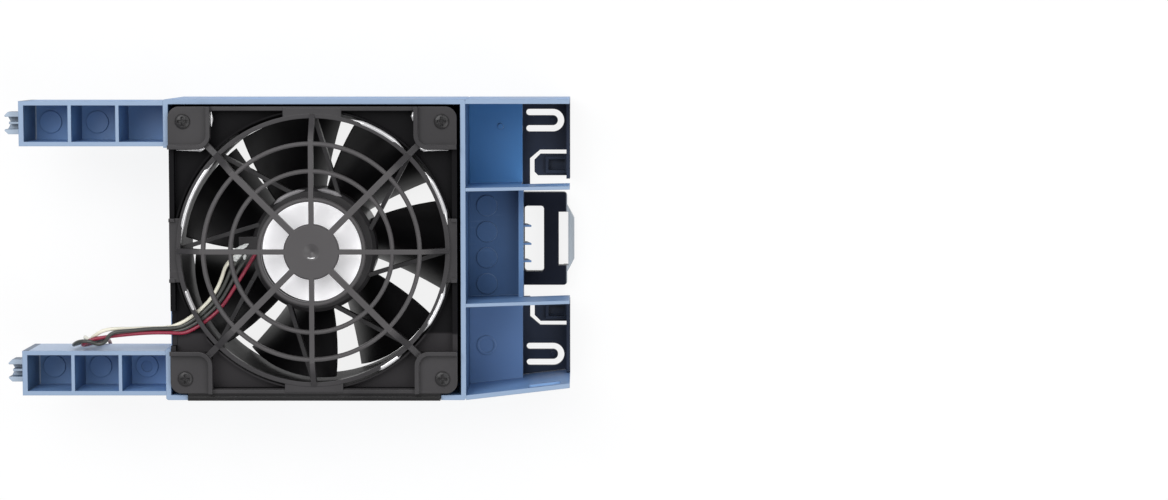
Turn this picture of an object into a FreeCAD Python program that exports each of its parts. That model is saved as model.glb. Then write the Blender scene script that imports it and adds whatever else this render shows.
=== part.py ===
"""Server fan module: a 92 mm axial fan with its finger guard in a moulded carrier bracket.

The module lies on its back. X runs from the locating pins to the release handle,
Y across the module and Z along the fan axis, from the back (0) to the guard side.
Everything is laid out about the fan axis (x = 0, y = 0) and moved at export, so that
the origin is the middle of the bounding box at its bottom. Lengths in millimetres.
"""
import FreeCAD, Part
import math
import os

V = FreeCAD.Vector
OUT = "parts"
EPS = 0.01                      # overlap that makes neighbouring primitives fuse

# ---------------------------------------------------------------- fan and its frame
fan_size = 92.0                 # square flange
fan_depth = 38.0
fan_corner_r = 4.0
hole_inset = 4.75               # fixing hole from the flange edge
hole_r = 2.15
bore_margin = 2.6               # flange edge to the bore
bore_flare = 1.1                # widening of the bore at its two mouths
flare_depth = 5.0
tube_wall = 1.7
flange_t = 4.5
ear_size = 13.0
flange_border = 1.6
flange_web_t = 1.5              # web between ears and tube, at the flange's inner side
strut_count = 8
strut_t = 1.3
strut_depth = 4.0
strut_twist = 25.0              # degrees from the outer to the inner end
motor_base_r = 20.0
motor_base_depth = 8.0
motor_base_cap = 2.0
motor_base_rim = 1.5
motor_base_round = 1.2
motor_base_drop = 1.0           # base face below the flange face
base_boss_wall = 1.6            # boss round the bearing tube
base_post_r = 1.2
base_post_inset = 3.6           # posts from the board's edge
base_post_angles = (34.4, 154.7, 275.0)
strut_drop = 0.4                # stays below the base face
label_inset = 3.6               # label edge from the motor base edge
label_t = 0.2

# ---------------------------------------------------------------- impeller and motor
blade_count = 7
blade_first_angle = 108.5       # middle of the first blade at its root, degrees
blade_cover = 44.0              # angle that one blade covers
blade_skew = 8.0                # tip lags the root by this angle
blade_margin = 1.0              # hub standing out past the blades at both ends
blade_root_t = 1.7
blade_tip_t = 1.1
blade_edge_t = 0.5              # thickness at both edges
blade_stations = (-0.1, 0.32, 0.68, 1.04)  # loft sections as shares of the span
blade_camber = 0.085            # camber height as a share of the chord
tip_gap = 0.9
hub_inset = 1.0                 # hub inside the motor base edge
hub_wall = 1.5
hub_face_t = 1.8
hub_z = 5.0                     # outer face of the hub above the back
hub_gap = 1.0                   # hub rim to the motor base
hub_round = 2.0
cup_wall = 0.8
cup_rim_drop = 2.2              # cup rim below the hub rim
magnet_t = 2.0
magnet_end_gap = 1.2            # cup floor to magnet
magnet_rim_drop = 1.0           # magnet below the cup rim
air_gap = 0.5
core_length = 10.0
core_seat = 4.7                 # stack above the magnet's lower end
pole_count = 4
pole_neck = 4.6
pole_shoe_t = 2.0
pole_gap = 3.0
core_hub_t = 2.4
insulator_t = 1.2
winding_t = 1.9
winding_clear = 0.15
shaft_r = 1.5
bearing_or = 4.0
bearing_width = 4.0
race_t = 0.75
ball_r = 0.48
balls_per_bearing = 7
bearing_tube_wall = 0.65
bearing_shoulder = 0.6
bearing_tube_gap = 2.4          # cup floor to the end of the bearing tube
bearing_tube_lip = 0.5          # tube stands out past the lower bearing
upper_bearing_drop = 7.0        # bearing below the inside of the motor base
washer_t = 0.3
washer_clear = 0.1
washer_flat = 0.2
collar_wall = 1.2
clip_t = 0.5
clip_r = 2.6
groove_depth = 0.35
board_edge_gap = 0.9            # board edge to the inside of the motor base
board_t = 1.2
board_drop = 3.6                # board below the inside of the motor base
board_part_t = 1.5
chip_size = 5.2
sensor_size = (4.0, 2.2)
capacitor_r = 1.5
capacitor_spread = 5.0          # capacitors from the middle line
board_part_inset = 6.3          # chip and capacitors from the board's edge
sensor_inset = 4.3

# ---------------------------------------------------------------- finger guard
guard_base_t = 1.5
guard_border = 1.3
guard_web_rise = 7.5            # top of the web above the fan flange
guard_web_t = 1.8
guard_ring_w = 1.4
guard_ring_shares = (0.388, 0.598, 0.8)  # inner rings as shares of the outer ring
guard_ring_margin = 3.0         # flange edge to the middle of the outer ring
guard_spoke_w = 1.6
guard_knee_reach = 1.2          # spokes bend this far outside the last inner ring
guard_disc_r = 8.9
guard_dimple_r = 2.6
guard_dimple_depth = 1.1
guard_pad = 13.6
guard_pad_round = 4.5
guard_pad_wall = 1.3
guard_pad_wall_h = 1.8
guard_flat_w = 18.6
guard_side_w = 20.5             # flats at the two sides
guard_flat_start = 0.8          # flats begin this far inside the outer ring's middle
guard_flat_rise = 0.3           # upper and lower flats above the pads
guard_side_drop = 0.5           # side flats below the pads
guard_ring_rise = 0.5           # outer ring above the pads
guard_edge_bevel = 0.4          # on the edges of rings and disc
guard_nib = (1.8, 1.1, 0.7)     # at the ends of the side flats
guard_corner_r = 3.6
skirt_inset = 5.5               # skirt end from the flange edge
skirt_t = 1.2
skirt_h = 4.5
skirt_clear = 0.2
skirt_web_t = 0.9
skirt_web_start = 0.6           # web begins this far inside the flange edge
skirt_rise = 0.2                # lip above the pads
skirt_drop_clear = 0.1          # lip to the bottom of its cut in the bay wall
rivet_r = 1.95
rivet_head_r = 2.4
rivet_head_t = 0.9
rivet_grip = 6.0                # shank length under the guard

# ---------------------------------------------------------------- carrier bracket
rim_z = 40.0                    # depth of the bracket
wall_t = 1.6
back_t = 2.0
bay_clear_x = 0.6
bay_clear_y = 0.7
bay_shift_x = 0.5               # bay centre from the fan axis
bay_round = 0.8                 # upright outer edges
back_open_margin = 1.4          # back opening outside the bore
side_cut_depth = 12.0           # bay wall is lower between the arms
side_cut_margin = 0.5           # cut short of the arms
arm_reach = 46.1                # bay wall to the end of an arm
arm_width = 14.4
arm_inset_upper = 0.6
arm_inset_lower = 1.5
arm_depth = 20.5
arm_floor_t = 1.8
arm_rim_t = 1.4
arm_divider_t = 1.1
arm_pockets = 3
arm_boss_r = 3.6
arm_boss_h = 0.5
arm_boss_shift = 2.0            # bosses off the pocket's middle, away from the bay
pin_length = 6.0
pin_width = 7.2
pin_height = 6.4
pin_slot = 4.0
pin_slot_floor = 1.6
pin_rib_t = 0.8
pin_chamfer = 1.2
head_length = 33.3              # bay wall to the free end of the handle section
head_taper = 3.9                # lower wall runs in by this much
head_wall = 1.5
divider_t = 1.1
upper_divider_offset = 18.05    # from the middle line of the handle
upper_divider_rise = 0.6
lower_divider_offset = 19.15
lower_divider_rise = 1.1
divider_free_depth = 18.0
side_floor_z = 8.2
side_floor_length = 17.6
mid_floor_z = 12.2
mid_floor_length = 16.5
floor_t = 1.8
step_wall_t = 1.2
thumb_wall_t = 1.6
thumb_wall_top = 21.7
gusset_t = 0.6
gusset_reach = 2.6              # at the top
gusset_foot = 1.0
gusset_offsets = (-6.5, -0.8, 5.1)
mid_mark_r = 3.4
mid_mark_shift = 1.0            # row of marks off the floor's middle
mid_mark_h = 0.4
mid_mark_pitch = 8.6
hold_rib_t = 1.2
hold_rib_offset = 8.0
upper_peg_at = (10.4, 8.1)      # from the bay wall and from the upper wall
lower_peg_at = (5.5, 14.3)      # from the bay wall and from the lower wall
peg_r = 3.2
peg_tip_r = 1.9
peg_clear = 0.1
peg_stand_out = 0.4             # peg past the back of the plate
peg_mark = (0.95, 0.6)          # radius and height of the stud over the upper peg
peg_ring = (3.2, 2.5, 0.3)      # radii and height of the ring over the lower peg
lead_notch = (17.5, 28.7)       # from the lower wall, in the fan frame
lead_notch_reach = 13.2         # from the bay wall into the fan frame
lead_notch_depth = 2.7
wall_window = (20.1, 30.3)      # start and end from the bay wall, in the lower wall
wall_window_drop = (2.0, 8.0)   # top and bottom below the rim

# ---------------------------------------------------------------- end plate
plate_z = 1.0
plate_t = 1.7
plate_gap = 0.2
plate_start = 1.2               # from the bay wall
grip_centre_y = 1.35            # middle line of plate opening and handle
mouth_start = 19.9
mouth_half = 29.35
mouth_chamfer = (3.4, 2.9)
mouth_relief = (17.6, 19.7)     # the mouth starts sooner beside the handle's lower edge
slide_start = 14.5
rail_t = 1.45
u_slot_start = 18.7
u_slot_end = 31.3
u_slot_w = 2.1
u_slot_inset = 6.3              # middle of the slot from the upper wall
u_slot_half = 3.75
nub_r = 0.9
nub_h = 0.5
lip_t = 1.2
lip_top = 12.8
lip_clear = 0.6
finger_start = 21.4
finger_inner = 20.8
finger_width = 7.2
finger_chamfer = 2.0
frame_length = 7.0
frame_width = 5.6
frame_rim = 1.0
frame_h = 1.9
finger_floor_t = 0.9            # floor of the framed pocket
rail_end = 16.1

# ---------------------------------------------------------------- release handle
handle_half = 15.45
handle_z = 2.9
handle_t = 4.5
handle_end = 32.3
handle_corner = 1.2
handle_travel = 3.2
handle_stop_clear = 0.7         # left to the bay wall when it is pressed home
window_start = 18.2
window_end = 24.6
window_half = 10.9
window_corner = 1.0
slot_start = 29.5
slot_end = 32.7
slot_half = 8.9
grip_out = 2.4
grip_half = 8.9
grip_taper = 2.2
grip_drop = 2.0
grip_chamfer = 1.6
ear_length = 3.0
ear_width = 1.4
slide_clear = 0.3
face_clear = 0.1
spring_r = 1.45
spring_wire_r = 0.2
spring_turns = 6.0
spring_bore_r = 1.75
spring_seat = 7.4               # depth of the spring bore in the handle

# ---------------------------------------------------------------- lead and connector
wire_d = 1.2
exit_block = (-4.0, 2.8, 4.2)   # x0 and x1 from the motor base edge, y end
exit_mouth_y = -0.5             # where the wires leave the block
exit_channel = 9.5              # length of the channel in front of it
exit_block_h = 3.2
connector_reach = 26.3          # bay wall to the middle of the connector
contact_pitch = 2.5
connector_w = 10.6
connector_h = 5.8
connector_length = 8.1
connector_end_gap = 0.3
connector_mid_z = 11.0
contact_w = 1.5
contact_wall = 0.3
contact_inset = 1.2
cradle_wall = 1.4
cradle_clear = 0.05
cradle_inset = 0.8              # cradle short of the housing's face

# The four wires leave the motor side by side, cross the frame and the bay wall in
# their notch, arch over to the lower arm, drop along it and turn into the connector.
# Their points are offsets from the left edge of the motor base, from the lower left
# corner of the bay at its rim, and from the middle of the connector's wire face.
ROUTES = {
    "lead_white": (
        [(-2.85, -0.5, -0.7), (-2.85, -5, -0.7), (-8, -11.8, -0.7)],
        [(14.3, 30.8, -1.7), (7.9, 26.1, -1.7), (0.9, 23.9, -1.7), (-7.1, 24, -0.4),
         (-14.9, 23.5, 1.2), (-22.7, 21.4, 0.2)],
        [(-2, 8.7, 24.4), (-3.75, 7.5, 16.5), (-3.75, 7.4, 7.2), (-3.75, 6.2, 2.9),
         (-3.75, 3.5, 0), (-3.75, 0, 0)],
    ),
    "lead_yellow": (
        [(-1.35, -0.5, -0.7), (-1.35, -5.2, -0.7), (-6.8, -12.7, -0.7)],
        [(15.2, 29.7, -1.7), (8.6, 24.8, -1.7), (1.1, 22.4, -1.7), (-6.9, 22.5, 0.4),
         (-14.3, 22.1, 2.4), (-21.4, 20, 1)],
        [(0, 8.1, 25.2), (-1.25, 7.4, 16.6), (-1.25, 7.4, 7.2), (-1.25, 6.2, 2.9),
         (-1.25, 3.5, 0), (-1.25, 0, 0)],
    ),
    "lead_black": (
        [(0.15, -0.5, -0.7), (0.15, -5.4, -0.7), (-5.6, -13.7, -0.7)],
        [(16.2, 28.5, -1.7), (9.2, 23.4, -1.7), (1.3, 21, -1.7), (-6.7, 21.2, -0.5),
         (-14.5, 20.4, 1), (-20.5, 18.4, -1.6)],
        [(2.2, 7.4, 21.6), (1.25, 7.3, 14.4), (1.25, 7.4, 7.2), (1.25, 6.2, 2.9),
         (1.25, 3.5, 0), (1.25, 0, 0)],
    ),
    "lead_red": (
        [(1.65, -0.5, -0.7), (1.65, -5.6, -0.7), (-4.4, -14.6, -0.7)],
        [(17.1, 27.4, -1.7), (9.9, 22.1, -1.7), (1.5, 19.5, -1.7), (-6.3, 19.7, -1),
         (-13.2, 18.8, -0.7), (-18.5, 17.5, -3.6)],
        [(4.7, 7.3, 19.8), (3.75, 7.3, 13.6), (3.75, 7.4, 7.2), (3.75, 6.2, 2.9),
         (3.75, 3.5, 0), (3.75, 0, 0)],
    ),
}

# ---------------------------------------------------------------- worked-out places
fan_half = fan_size / 2
bore_r = fan_half - bore_margin
fan_z0 = back_t
fan_z1 = fan_z0 + fan_depth
hole_at = fan_half - hole_inset
hub_r = motor_base_r - hub_inset
board_r = motor_base_r - motor_base_rim - board_edge_gap
bay_x0 = bay_shift_x - fan_half - bay_clear_x
bay_x1 = bay_shift_x + fan_half + bay_clear_x
bay_y = fan_half + bay_clear_y
out_x0 = bay_x0 - wall_t
out_x1 = bay_x1 + wall_t
out_y = bay_y + wall_t
arm_x0 = out_x0 - arm_reach
arm_z0 = rim_z - arm_depth
arm_floor_top = arm_z0 + arm_floor_t
upper_arm = (out_y - arm_inset_upper - arm_width, out_y - arm_inset_upper)
lower_arm = (-out_y + arm_inset_lower, -out_y + arm_inset_lower + arm_width)
connector_x = out_x0 - connector_reach
connector_y0 = lower_arm[0] + connector_end_gap
connector_y1 = connector_y0 + connector_length
skirt_half = fan_half - skirt_inset
guard_outer_r = fan_half - guard_ring_margin
pin_x0 = arm_x0 - pin_length
pin_z = rim_z - arm_depth / 2
head_x1 = out_x1 + head_length
mouth_start_x = out_x1 + mouth_start
slide_start_x = out_x1 + slide_start
u_slot_start_x = out_x1 + u_slot_start
u_slot_end_x = out_x1 + u_slot_end
finger_start_x = out_x1 + finger_start
rail_end_x = out_x1 + rail_end
handle_start = out_x1 + handle_travel + handle_stop_clear
handle_end_x = out_x1 + handle_end
window_start_x = out_x1 + window_start
window_end_x = out_x1 + window_end
slot_start_x = out_x1 + slot_start
slot_end_x = out_x1 + slot_end
side_floor_x1 = out_x1 + side_floor_length
mid_floor_x1 = out_x1 + mid_floor_length
plate_top = plate_z + plate_t
slide_half = handle_half + slide_clear + rail_t
u_slot_offset = out_y - head_wall - grip_centre_y - u_slot_inset
upper_divider_y = grip_centre_y + upper_divider_offset
lower_divider_y = grip_centre_y - lower_divider_offset
grip_x1 = handle_end_x + grip_out
handle_top = handle_z + handle_t
rail_start = handle_start + ear_length + slide_clear
upper_peg = (out_x1 + upper_peg_at[0], out_y - head_wall - upper_peg_at[1])
lower_peg = (out_x1 + lower_peg_at[0], lower_peg_at[1] - out_y)
base_z1 = fan_z1 - motor_base_drop
base_z0 = base_z1 - motor_base_depth
board_z1 = base_z1 - motor_base_cap - board_drop
board_z0 = board_z1 - board_t
tube_or = bearing_or + bearing_tube_wall
impeller_r = bore_r - tip_gap
hub_z1 = base_z0 - hub_gap
blade_axial = hub_z1 - hub_z - 2 * blade_margin
cup_r = hub_r - hub_wall
cup_z0 = hub_z + hub_face_t
cup_z1 = hub_z1 - cup_rim_drop
magnet_z0 = cup_z0 + cup_wall + magnet_end_gap
magnet_z1 = cup_z1 - magnet_rim_drop
core_z = magnet_z0 + core_seat
bearing_tube_z = cup_z0 + cup_wall + bearing_tube_gap
upper_bearing_z = base_z1 - motor_base_cap - upper_bearing_drop
magnet_or = cup_r - cup_wall
magnet_ir = magnet_or - magnet_t
core_r = magnet_ir - air_gap
core_z1 = core_z + core_length
lower_bearing_z = bearing_tube_z + bearing_tube_lip
collar_top = lower_bearing_z - washer_t
guard_z0 = fan_z1
guard_base_z1 = guard_z0 + guard_base_t
guard_web_z1 = guard_z0 + guard_web_rise
guard_web_z0 = guard_web_z1 - guard_web_t
lead_notch_z = rim_z - lead_notch_depth
SHIFT = V(-(pin_x0 + grip_x1) / 2, 0, 0)
made = {}


# ---------------------------------------------------------------- helpers
def box(x0, x1, y0, y1, z0, z1):
    """Box between two corners."""
    return Part.makeBox(x1 - x0, y1 - y0, z1 - z0, V(x0, y0, z0))


def cyl(r, z0, z1, x=0.0, y=0.0):
    """Upright cylinder."""
    return Part.makeCylinder(r, z1 - z0, V(x, y, z0), V(0, 0, 1))


def ring(r_out, r_in, z0, z1, x=0.0, y=0.0):
    """Upright ring."""
    return cyl(r_out, z0, z1, x, y).cut(cyl(r_in, z0 - 1, z1 + 1, x, y))


def prism(points, z0, z1):
    """Upright prism over a polygon in X and Y."""
    wire = Part.makePolygon([V(x, y, z0) for x, y in points] + [V(*points[0], z0)])
    return Part.Face(wire).extrude(V(0, 0, z1 - z0))


def side_prism(points, y0, y1):
    """Prism over a polygon in X and Z, between two Y planes."""
    wire = Part.makePolygon([V(x, y0, z) for x, z in points] + [V(points[0][0], y0, points[0][1])])
    return Part.Face(wire).extrude(V(0, y1 - y0, 0))


def revolve(points):
    """Solid of revolution about the fan axis from (radius, z) points."""
    wire = Part.makePolygon([V(r, 0, z) for r, z in points] + [V(points[0][0], 0, points[0][1])])
    return Part.Face(wire).revolve(V(0, 0, 0), V(0, 0, 1), 360)


def turned(shape, angle):
    """Copy turned about the fan axis."""
    copy = shape.copy()
    copy.rotate(V(0, 0, 0), V(0, 0, 1), angle)
    return copy


def fused(shapes):
    """One clean solid from touching shapes."""
    first = shapes[0]
    return first.multiFuse(shapes[1:]).removeSplitter() if len(shapes) > 1 else first


def rounded_box(x0, x1, y0, y1, z0, z1, radius):
    """Box with its upright edges rounded."""
    block = box(x0, x1, y0, y1, z0, z1)
    upright = [e for e in block.Edges if abs(e.Vertexes[0].Z - e.Vertexes[1].Z) > 1e-6]
    return block.makeFillet(radius, upright)


def save(name, shape):
    """Move a part to the row frame, write it and keep it for the closing list."""
    shape = shape.copy()
    shape.translate(SHIFT)
    if not shape.isValid():
        print("INVALID", name)
    shape.exportStep(os.path.join(OUT, name + ".step"))
    made[name] = shape
    print("%-20s solids %2d volume %9.1f" % (name, len(shape.Solids), shape.Volume))


# ---------------------------------------------------------------- fan frame
def fan_flange(z0, web_z):
    """Square flange with four ears; a thin web closes it between ears and tube."""
    z1 = z0 + flange_t
    plate = rounded_box(-fan_half, fan_half, -fan_half, fan_half, z0, z1, fan_corner_r)
    inner = fan_half - flange_border
    pocket = box(-inner, inner, -inner, inner, z0 - 1, z1 + 1)
    pocket = pocket.cut(cyl(bore_r + tube_wall, z0 - 2, z1 + 2))
    pocket = pocket.cut(box(-inner - 1, inner + 1, -inner - 1, inner + 1,
                            web_z, web_z + flange_web_t))
    ear_at = fan_half - ear_size
    for sx in (-1, 1):
        for sy in (-1, 1):
            corner = box(min(sx * ear_at, sx * fan_half), max(sx * ear_at, sx * fan_half),
                         min(sy * ear_at, sy * fan_half), max(sy * ear_at, sy * fan_half),
                         z0 - 2, z1 + 2)
            pocket = pocket.cut(corner)
    return plate.cut(pocket)


def motor_base():
    """Shallow cup that carries the bearing tube and the board; open to the impeller."""
    r_in = motor_base_r - motor_base_rim
    cap_z = base_z1 - motor_base_cap
    cup = revolve([(tube_or, cap_z), (r_in, cap_z), (r_in, base_z0), (motor_base_r, base_z0),
                   (motor_base_r, base_z1 - motor_base_round),
                   (motor_base_r - motor_base_round, base_z1), (0.0, base_z1),
                   (0.0, cap_z + EPS * 50), (tube_or, cap_z + EPS * 50)])
    boss = ring(tube_or + base_boss_wall, tube_or, board_z1, cap_z + EPS)
    post_r = board_r - base_post_inset
    posts = [turned(cyl(base_post_r, board_z1, cap_z + EPS, post_r, 0), angle)
             for angle in base_post_angles]
    return fused([cup, boss] + posts)


def strut(angle):
    """Slanted stay from the motor base to the bore."""
    a = math.radians(angle)
    b = math.radians(angle - strut_twist)
    r0 = motor_base_r - motor_base_rim / 2
    r1 = bore_r + tube_wall / 2
    p, q = V(r0 * math.cos(b), r0 * math.sin(b), 0), V(r1 * math.cos(a), r1 * math.sin(a), 0)
    along = (q - p).normalize()
    side = V(-along.y, along.x, 0) * (strut_t / 2)
    corners = [p + side, p - side, q - side, q + side]
    return prism([(c.x, c.y) for c in corners], base_z1 - strut_depth, base_z1 - strut_drop)


def bore_space():
    """The flared bore as a solid, a little longer than the frame."""
    wide = bore_r + bore_flare
    return revolve([(0, fan_z0 - 1), (wide, fan_z0 - 1), (wide, fan_z0),
                    (bore_r, fan_z0 + flare_depth), (bore_r, fan_z1 - flare_depth),
                    (wide, fan_z1), (wide, fan_z1 + 1), (0, fan_z1 + 1)])


def lead_channel():
    """Notch for the lead in the fan frame's edge, from its side to the bore."""
    y0, y1 = (v - out_y for v in lead_notch)
    return box(out_x0 - 1, out_x0 + lead_notch_reach, y0, y1, lead_notch_z, rim_z + 1)


def fan_frame():
    """Tube and two flanges; the motor mount stands in its bore."""
    tube = cyl(bore_r + tube_wall, fan_z0, fan_z1)
    upper_z = fan_z1 - flange_t
    flanges = [fan_flange(fan_z0, fan_z0 + flange_t - flange_web_t), fan_flange(upper_z, upper_z)]
    frame = fused([tube] + flanges).cut(bore_space())
    for sx in (-1, 1):
        for sy in (-1, 1):
            frame = frame.cut(cyl(hole_r, fan_z0 - 1, fan_z1 + 1, sx * hole_at, sy * hole_at))
    return frame.cut(lead_channel())


def motor_mount():
    """Motor base and its slanted stays, ending on the wall of the bore."""
    x0, x1 = (v - motor_base_r for v in exit_block[:2])
    block = box(x0, x1, exit_mouth_y, exit_block[2], base_z1 - exit_block_h, base_z1)
    stays = [strut(360.0 * i / strut_count) for i in range(strut_count)]
    mount = fused([motor_base(), block] + stays).common(bore_space())
    channel = box(x0, x1, exit_mouth_y - exit_channel, exit_mouth_y, lead_notch_z, base_z1 + 1)
    return mount.cut(channel).cut(lead_channel())


# ---------------------------------------------------------------- impeller and motor
def blade_section(r):
    """Cambered section of a blade in the plane tangent to radius r."""
    share = (r - hub_r) / (impeller_r - hub_r)
    width = 2 * r * math.tan(math.radians(blade_cover / 2))
    thick = blade_root_t + (blade_tip_t - blade_root_t) * share
    shift = -r * math.tan(math.radians(blade_skew * share))
    z_mid = (hub_z + hub_z1) / 2
    low = V(r, shift - width / 2, z_mid - blade_axial / 2)
    high = V(r, shift + width / 2, z_mid + blade_axial / 2)
    chord = high - low
    normal = V(0, -chord.z, chord.y).normalize()
    bow = normal * (chord.Length * blade_camber)
    mid = (low + high) * 0.5 + bow
    edge = normal * (blade_edge_t / 2)
    half = normal * (thick / 2)
    outer = Part.Arc(low + edge, mid + half, high + edge).toShape()
    inner = Part.Arc(high - edge, mid - half, low - edge).toShape()
    ends = [Part.makeLine(high + edge, high - edge), Part.makeLine(low - edge, low + edge)]
    return Part.Wire([outer, ends[0], inner, ends[1]])


def impeller():
    """Hub shell with seven twisted, skewed blades trimmed to the tip radius."""
    hub = revolve([(0, hub_z), (hub_r - hub_round, hub_z), (hub_r, hub_z + hub_round),
                   (hub_r, hub_z1), (cup_r, hub_z1), (cup_r, cup_z0), (0, cup_z0)])
    span = impeller_r - hub_r
    sections = [blade_section(hub_r + span * share) for share in blade_stations]
    raw = Part.makeLoft(sections, True, False)
    trim = ring(impeller_r, cup_r + hub_wall / 2, hub_z - 2, hub_z1 + 2)
    blade = raw.common(trim)
    pitch = 360.0 / blade_count
    blades = [turned(blade, blade_first_angle + i * pitch) for i in range(blade_count)]
    return fused([hub] + blades)


def rotor_cup():
    """Steel cup pressed into the hub; its collar holds the shaft."""
    collar_r = shaft_r + collar_wall
    return revolve([(shaft_r, cup_z0), (cup_r, cup_z0), (cup_r, cup_z1),
                    (magnet_or, cup_z1), (magnet_or, cup_z0 + cup_wall),
                    (collar_r, cup_z0 + cup_wall), (collar_r, collar_top),
                    (shaft_r, collar_top)])


def magnet_ring():
    """Ring magnet inside the cup."""
    return ring(magnet_or, magnet_ir, magnet_z0, magnet_z1)


def rotor_shaft():
    """Shaft with a groove for the retaining clip."""
    z0 = cup_z0
    groove_z = upper_bearing_z + bearing_width
    z1 = groove_z + clip_t + 1.0
    return revolve([(0, z0), (shaft_r, z0), (shaft_r, groove_z),
                    (shaft_r - groove_depth, groove_z), (shaft_r - groove_depth, groove_z + clip_t),
                    (shaft_r, groove_z + clip_t), (shaft_r, z1 - 0.3), (shaft_r - 0.3, z1), (0, z1)])


def retaining_clip():
    """Open ring in the shaft's groove, over the upper bearing."""
    z0 = upper_bearing_z + bearing_width
    clip = ring(clip_r, shaft_r - groove_depth, z0, z0 + clip_t)
    mouth = box(0, clip_r + 1, -shaft_r * 0.6, shaft_r * 0.6, z0 - 1, z0 + clip_t + 1)
    return clip.cut(mouth)


def bearing_tube():
    """Brass tube with a shoulder between the two bearings."""
    z0 = bearing_tube_z
    z1 = base_z1 - motor_base_cap
    lower_top = lower_bearing_z + bearing_width
    inner = bearing_or - bearing_shoulder
    return revolve([(bearing_or, z0), (tube_or, z0), (tube_or, z1), (bearing_or, z1),
                    (bearing_or, upper_bearing_z), (inner, upper_bearing_z),
                    (inner, lower_top), (bearing_or, lower_top)])


def bearing_rings(r_out, r_in, groove_at):
    """The same ring for both bearings, with a ball groove."""
    rings = []
    for z0 in (lower_bearing_z, upper_bearing_z):
        body = ring(r_out, r_in, z0, z0 + bearing_width)
        groove = Part.makeTorus(groove_at, ball_r + 0.06, V(0, 0, z0 + bearing_width / 2), V(0, 0, 1))
        rings.append(body.cut(groove))
    return Part.makeCompound(rings)


def bearing_balls():
    """Balls of both bearings."""
    pitch_r = (shaft_r + bearing_or) / 2
    balls = []
    for z0 in (lower_bearing_z, upper_bearing_z):
        for i in range(balls_per_bearing):
            a = 2 * math.pi * i / balls_per_bearing
            centre = V(pitch_r * math.cos(a), pitch_r * math.sin(a), z0 + bearing_width / 2)
            balls.append(Part.makeSphere(ball_r, centre))
    return Part.makeCompound(balls)


def preload_washer():
    """Dished spring washer between the cup's collar and the lower bearing."""
    r0, r1 = shaft_r + washer_clear, shaft_r + race_t
    low, high = collar_top, lower_bearing_z
    return revolve([(r0, low), (r0 + washer_flat, low), (r1, high - washer_t / 2), (r1, high),
                    (r1 - washer_flat, high), (r0, low + washer_t / 2)])


def stator_core():
    """Laminated stack with four T-shaped poles on a hub."""
    hub = ring(tube_or + core_hub_t, tube_or, core_z, core_z1)
    shoe = ring(core_r, core_r - pole_shoe_t, core_z, core_z1)
    neck = box(tube_or + 0.5, core_r - 0.5, -pole_neck / 2, pole_neck / 2, core_z, core_z1)
    pitch = 360.0 / pole_count
    for i in range(pole_count):
        slot = box(core_r - pole_shoe_t - 1, core_r + 1, -pole_gap / 2, pole_gap / 2,
                   core_z - 1, core_z1 + 1)
        shoe = shoe.cut(turned(slot, pitch * (i + 0.5)))
    return fused([hub, shoe] + [turned(neck, pitch * i) for i in range(pole_count)])


def stator_insulator():
    """Plastic end caps on both faces of the stack, one cross with a hub each."""
    caps = []
    pitch = 360.0 / pole_count
    for z0 in (core_z - insulator_t, core_z1):
        hub = ring(tube_or + core_hub_t, tube_or, z0, z0 + insulator_t)
        arm = box(tube_or + 0.5, core_r - 0.3, -pole_neck / 2, pole_neck / 2, z0, z0 + insulator_t)
        stop = ring(core_r - 0.3, core_r - 0.3 - 1.2, z0, z0 + insulator_t)
        stop = stop.common(box(0, core_r, -6.0, 6.0, z0 - 1, z0 + insulator_t + 1))
        arms = [turned(s, pitch * i) for i in range(pole_count) for s in (arm, stop)]
        caps.append(fused([hub] + arms))
    return Part.makeCompound(caps)


def stator_windings():
    """Four coils, each wound round one pole and its end caps."""
    r0 = tube_or + core_hub_t + 0.4
    r1 = core_r - pole_shoe_t - 0.4
    inner_w = pole_neck / 2 + winding_clear
    z0 = core_z - insulator_t - winding_clear
    z1 = core_z1 + insulator_t + winding_clear
    outer = box(r0, r1, -inner_w - winding_t, inner_w + winding_t, z0 - winding_t, z1 + winding_t)
    along = [e for e in outer.Edges if abs(e.Vertexes[0].X - e.Vertexes[1].X) > 1]
    outer = outer.makeFillet(winding_t * 0.8, along)
    coil = outer.cut(box(r0 - 1, r1 + 1, -inner_w, inner_w, z0, z1))
    reach = core_r - pole_shoe_t - winding_clear
    coil = coil.common(ring(reach, tube_or + core_hub_t + winding_clear,
                            z0 - 2 * winding_t, z1 + 2 * winding_t))
    pitch = 360.0 / pole_count
    return Part.makeCompound([turned(coil, pitch * i) for i in range(pole_count)])


def circuit_board():
    """Ring-shaped board on the posts of the motor base."""
    return ring(board_r, tube_or + 0.1, board_z0, board_z1)


def board_components():
    """Driver chip, Hall sensor and two capacitors under the board."""
    z1 = board_z0
    z0 = z1 - board_part_t
    part_x = board_r - board_part_inset
    sensor_y = board_r - sensor_inset
    half_chip = chip_size / 2
    half_x, half_y = (v / 2 for v in sensor_size)
    return Part.makeCompound([
        box(part_x - half_chip, part_x + half_chip, -half_chip, half_chip, z0, z1),
        box(-half_x, half_x, sensor_y - half_y, sensor_y + half_y, z0, z1),
        cyl(capacitor_r, z0, z1, -part_x, capacitor_spread),
        cyl(capacitor_r, z0, z1, -part_x, -capacitor_spread)])


# ---------------------------------------------------------------- finger guard
def guard_spoke(length, width):
    """One spoke: flat over the web, then down to the outer ring."""
    knee = guard_outer_r * guard_ring_shares[-1] + guard_knee_reach
    foot = guard_outer_r + guard_ring_w / 2
    points = [(guard_disc_r - 1, guard_web_z0), (guard_disc_r - 1, guard_web_z1),
              (knee, guard_web_z1), (foot, guard_base_z1 + 0.6), (length, guard_base_z1),
              (length, guard_z0), (foot - 2 * guard_ring_w, guard_z0),
              (knee - guard_knee_reach, guard_web_z0)]
    return side_prism(points, -width / 2, width / 2)


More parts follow.
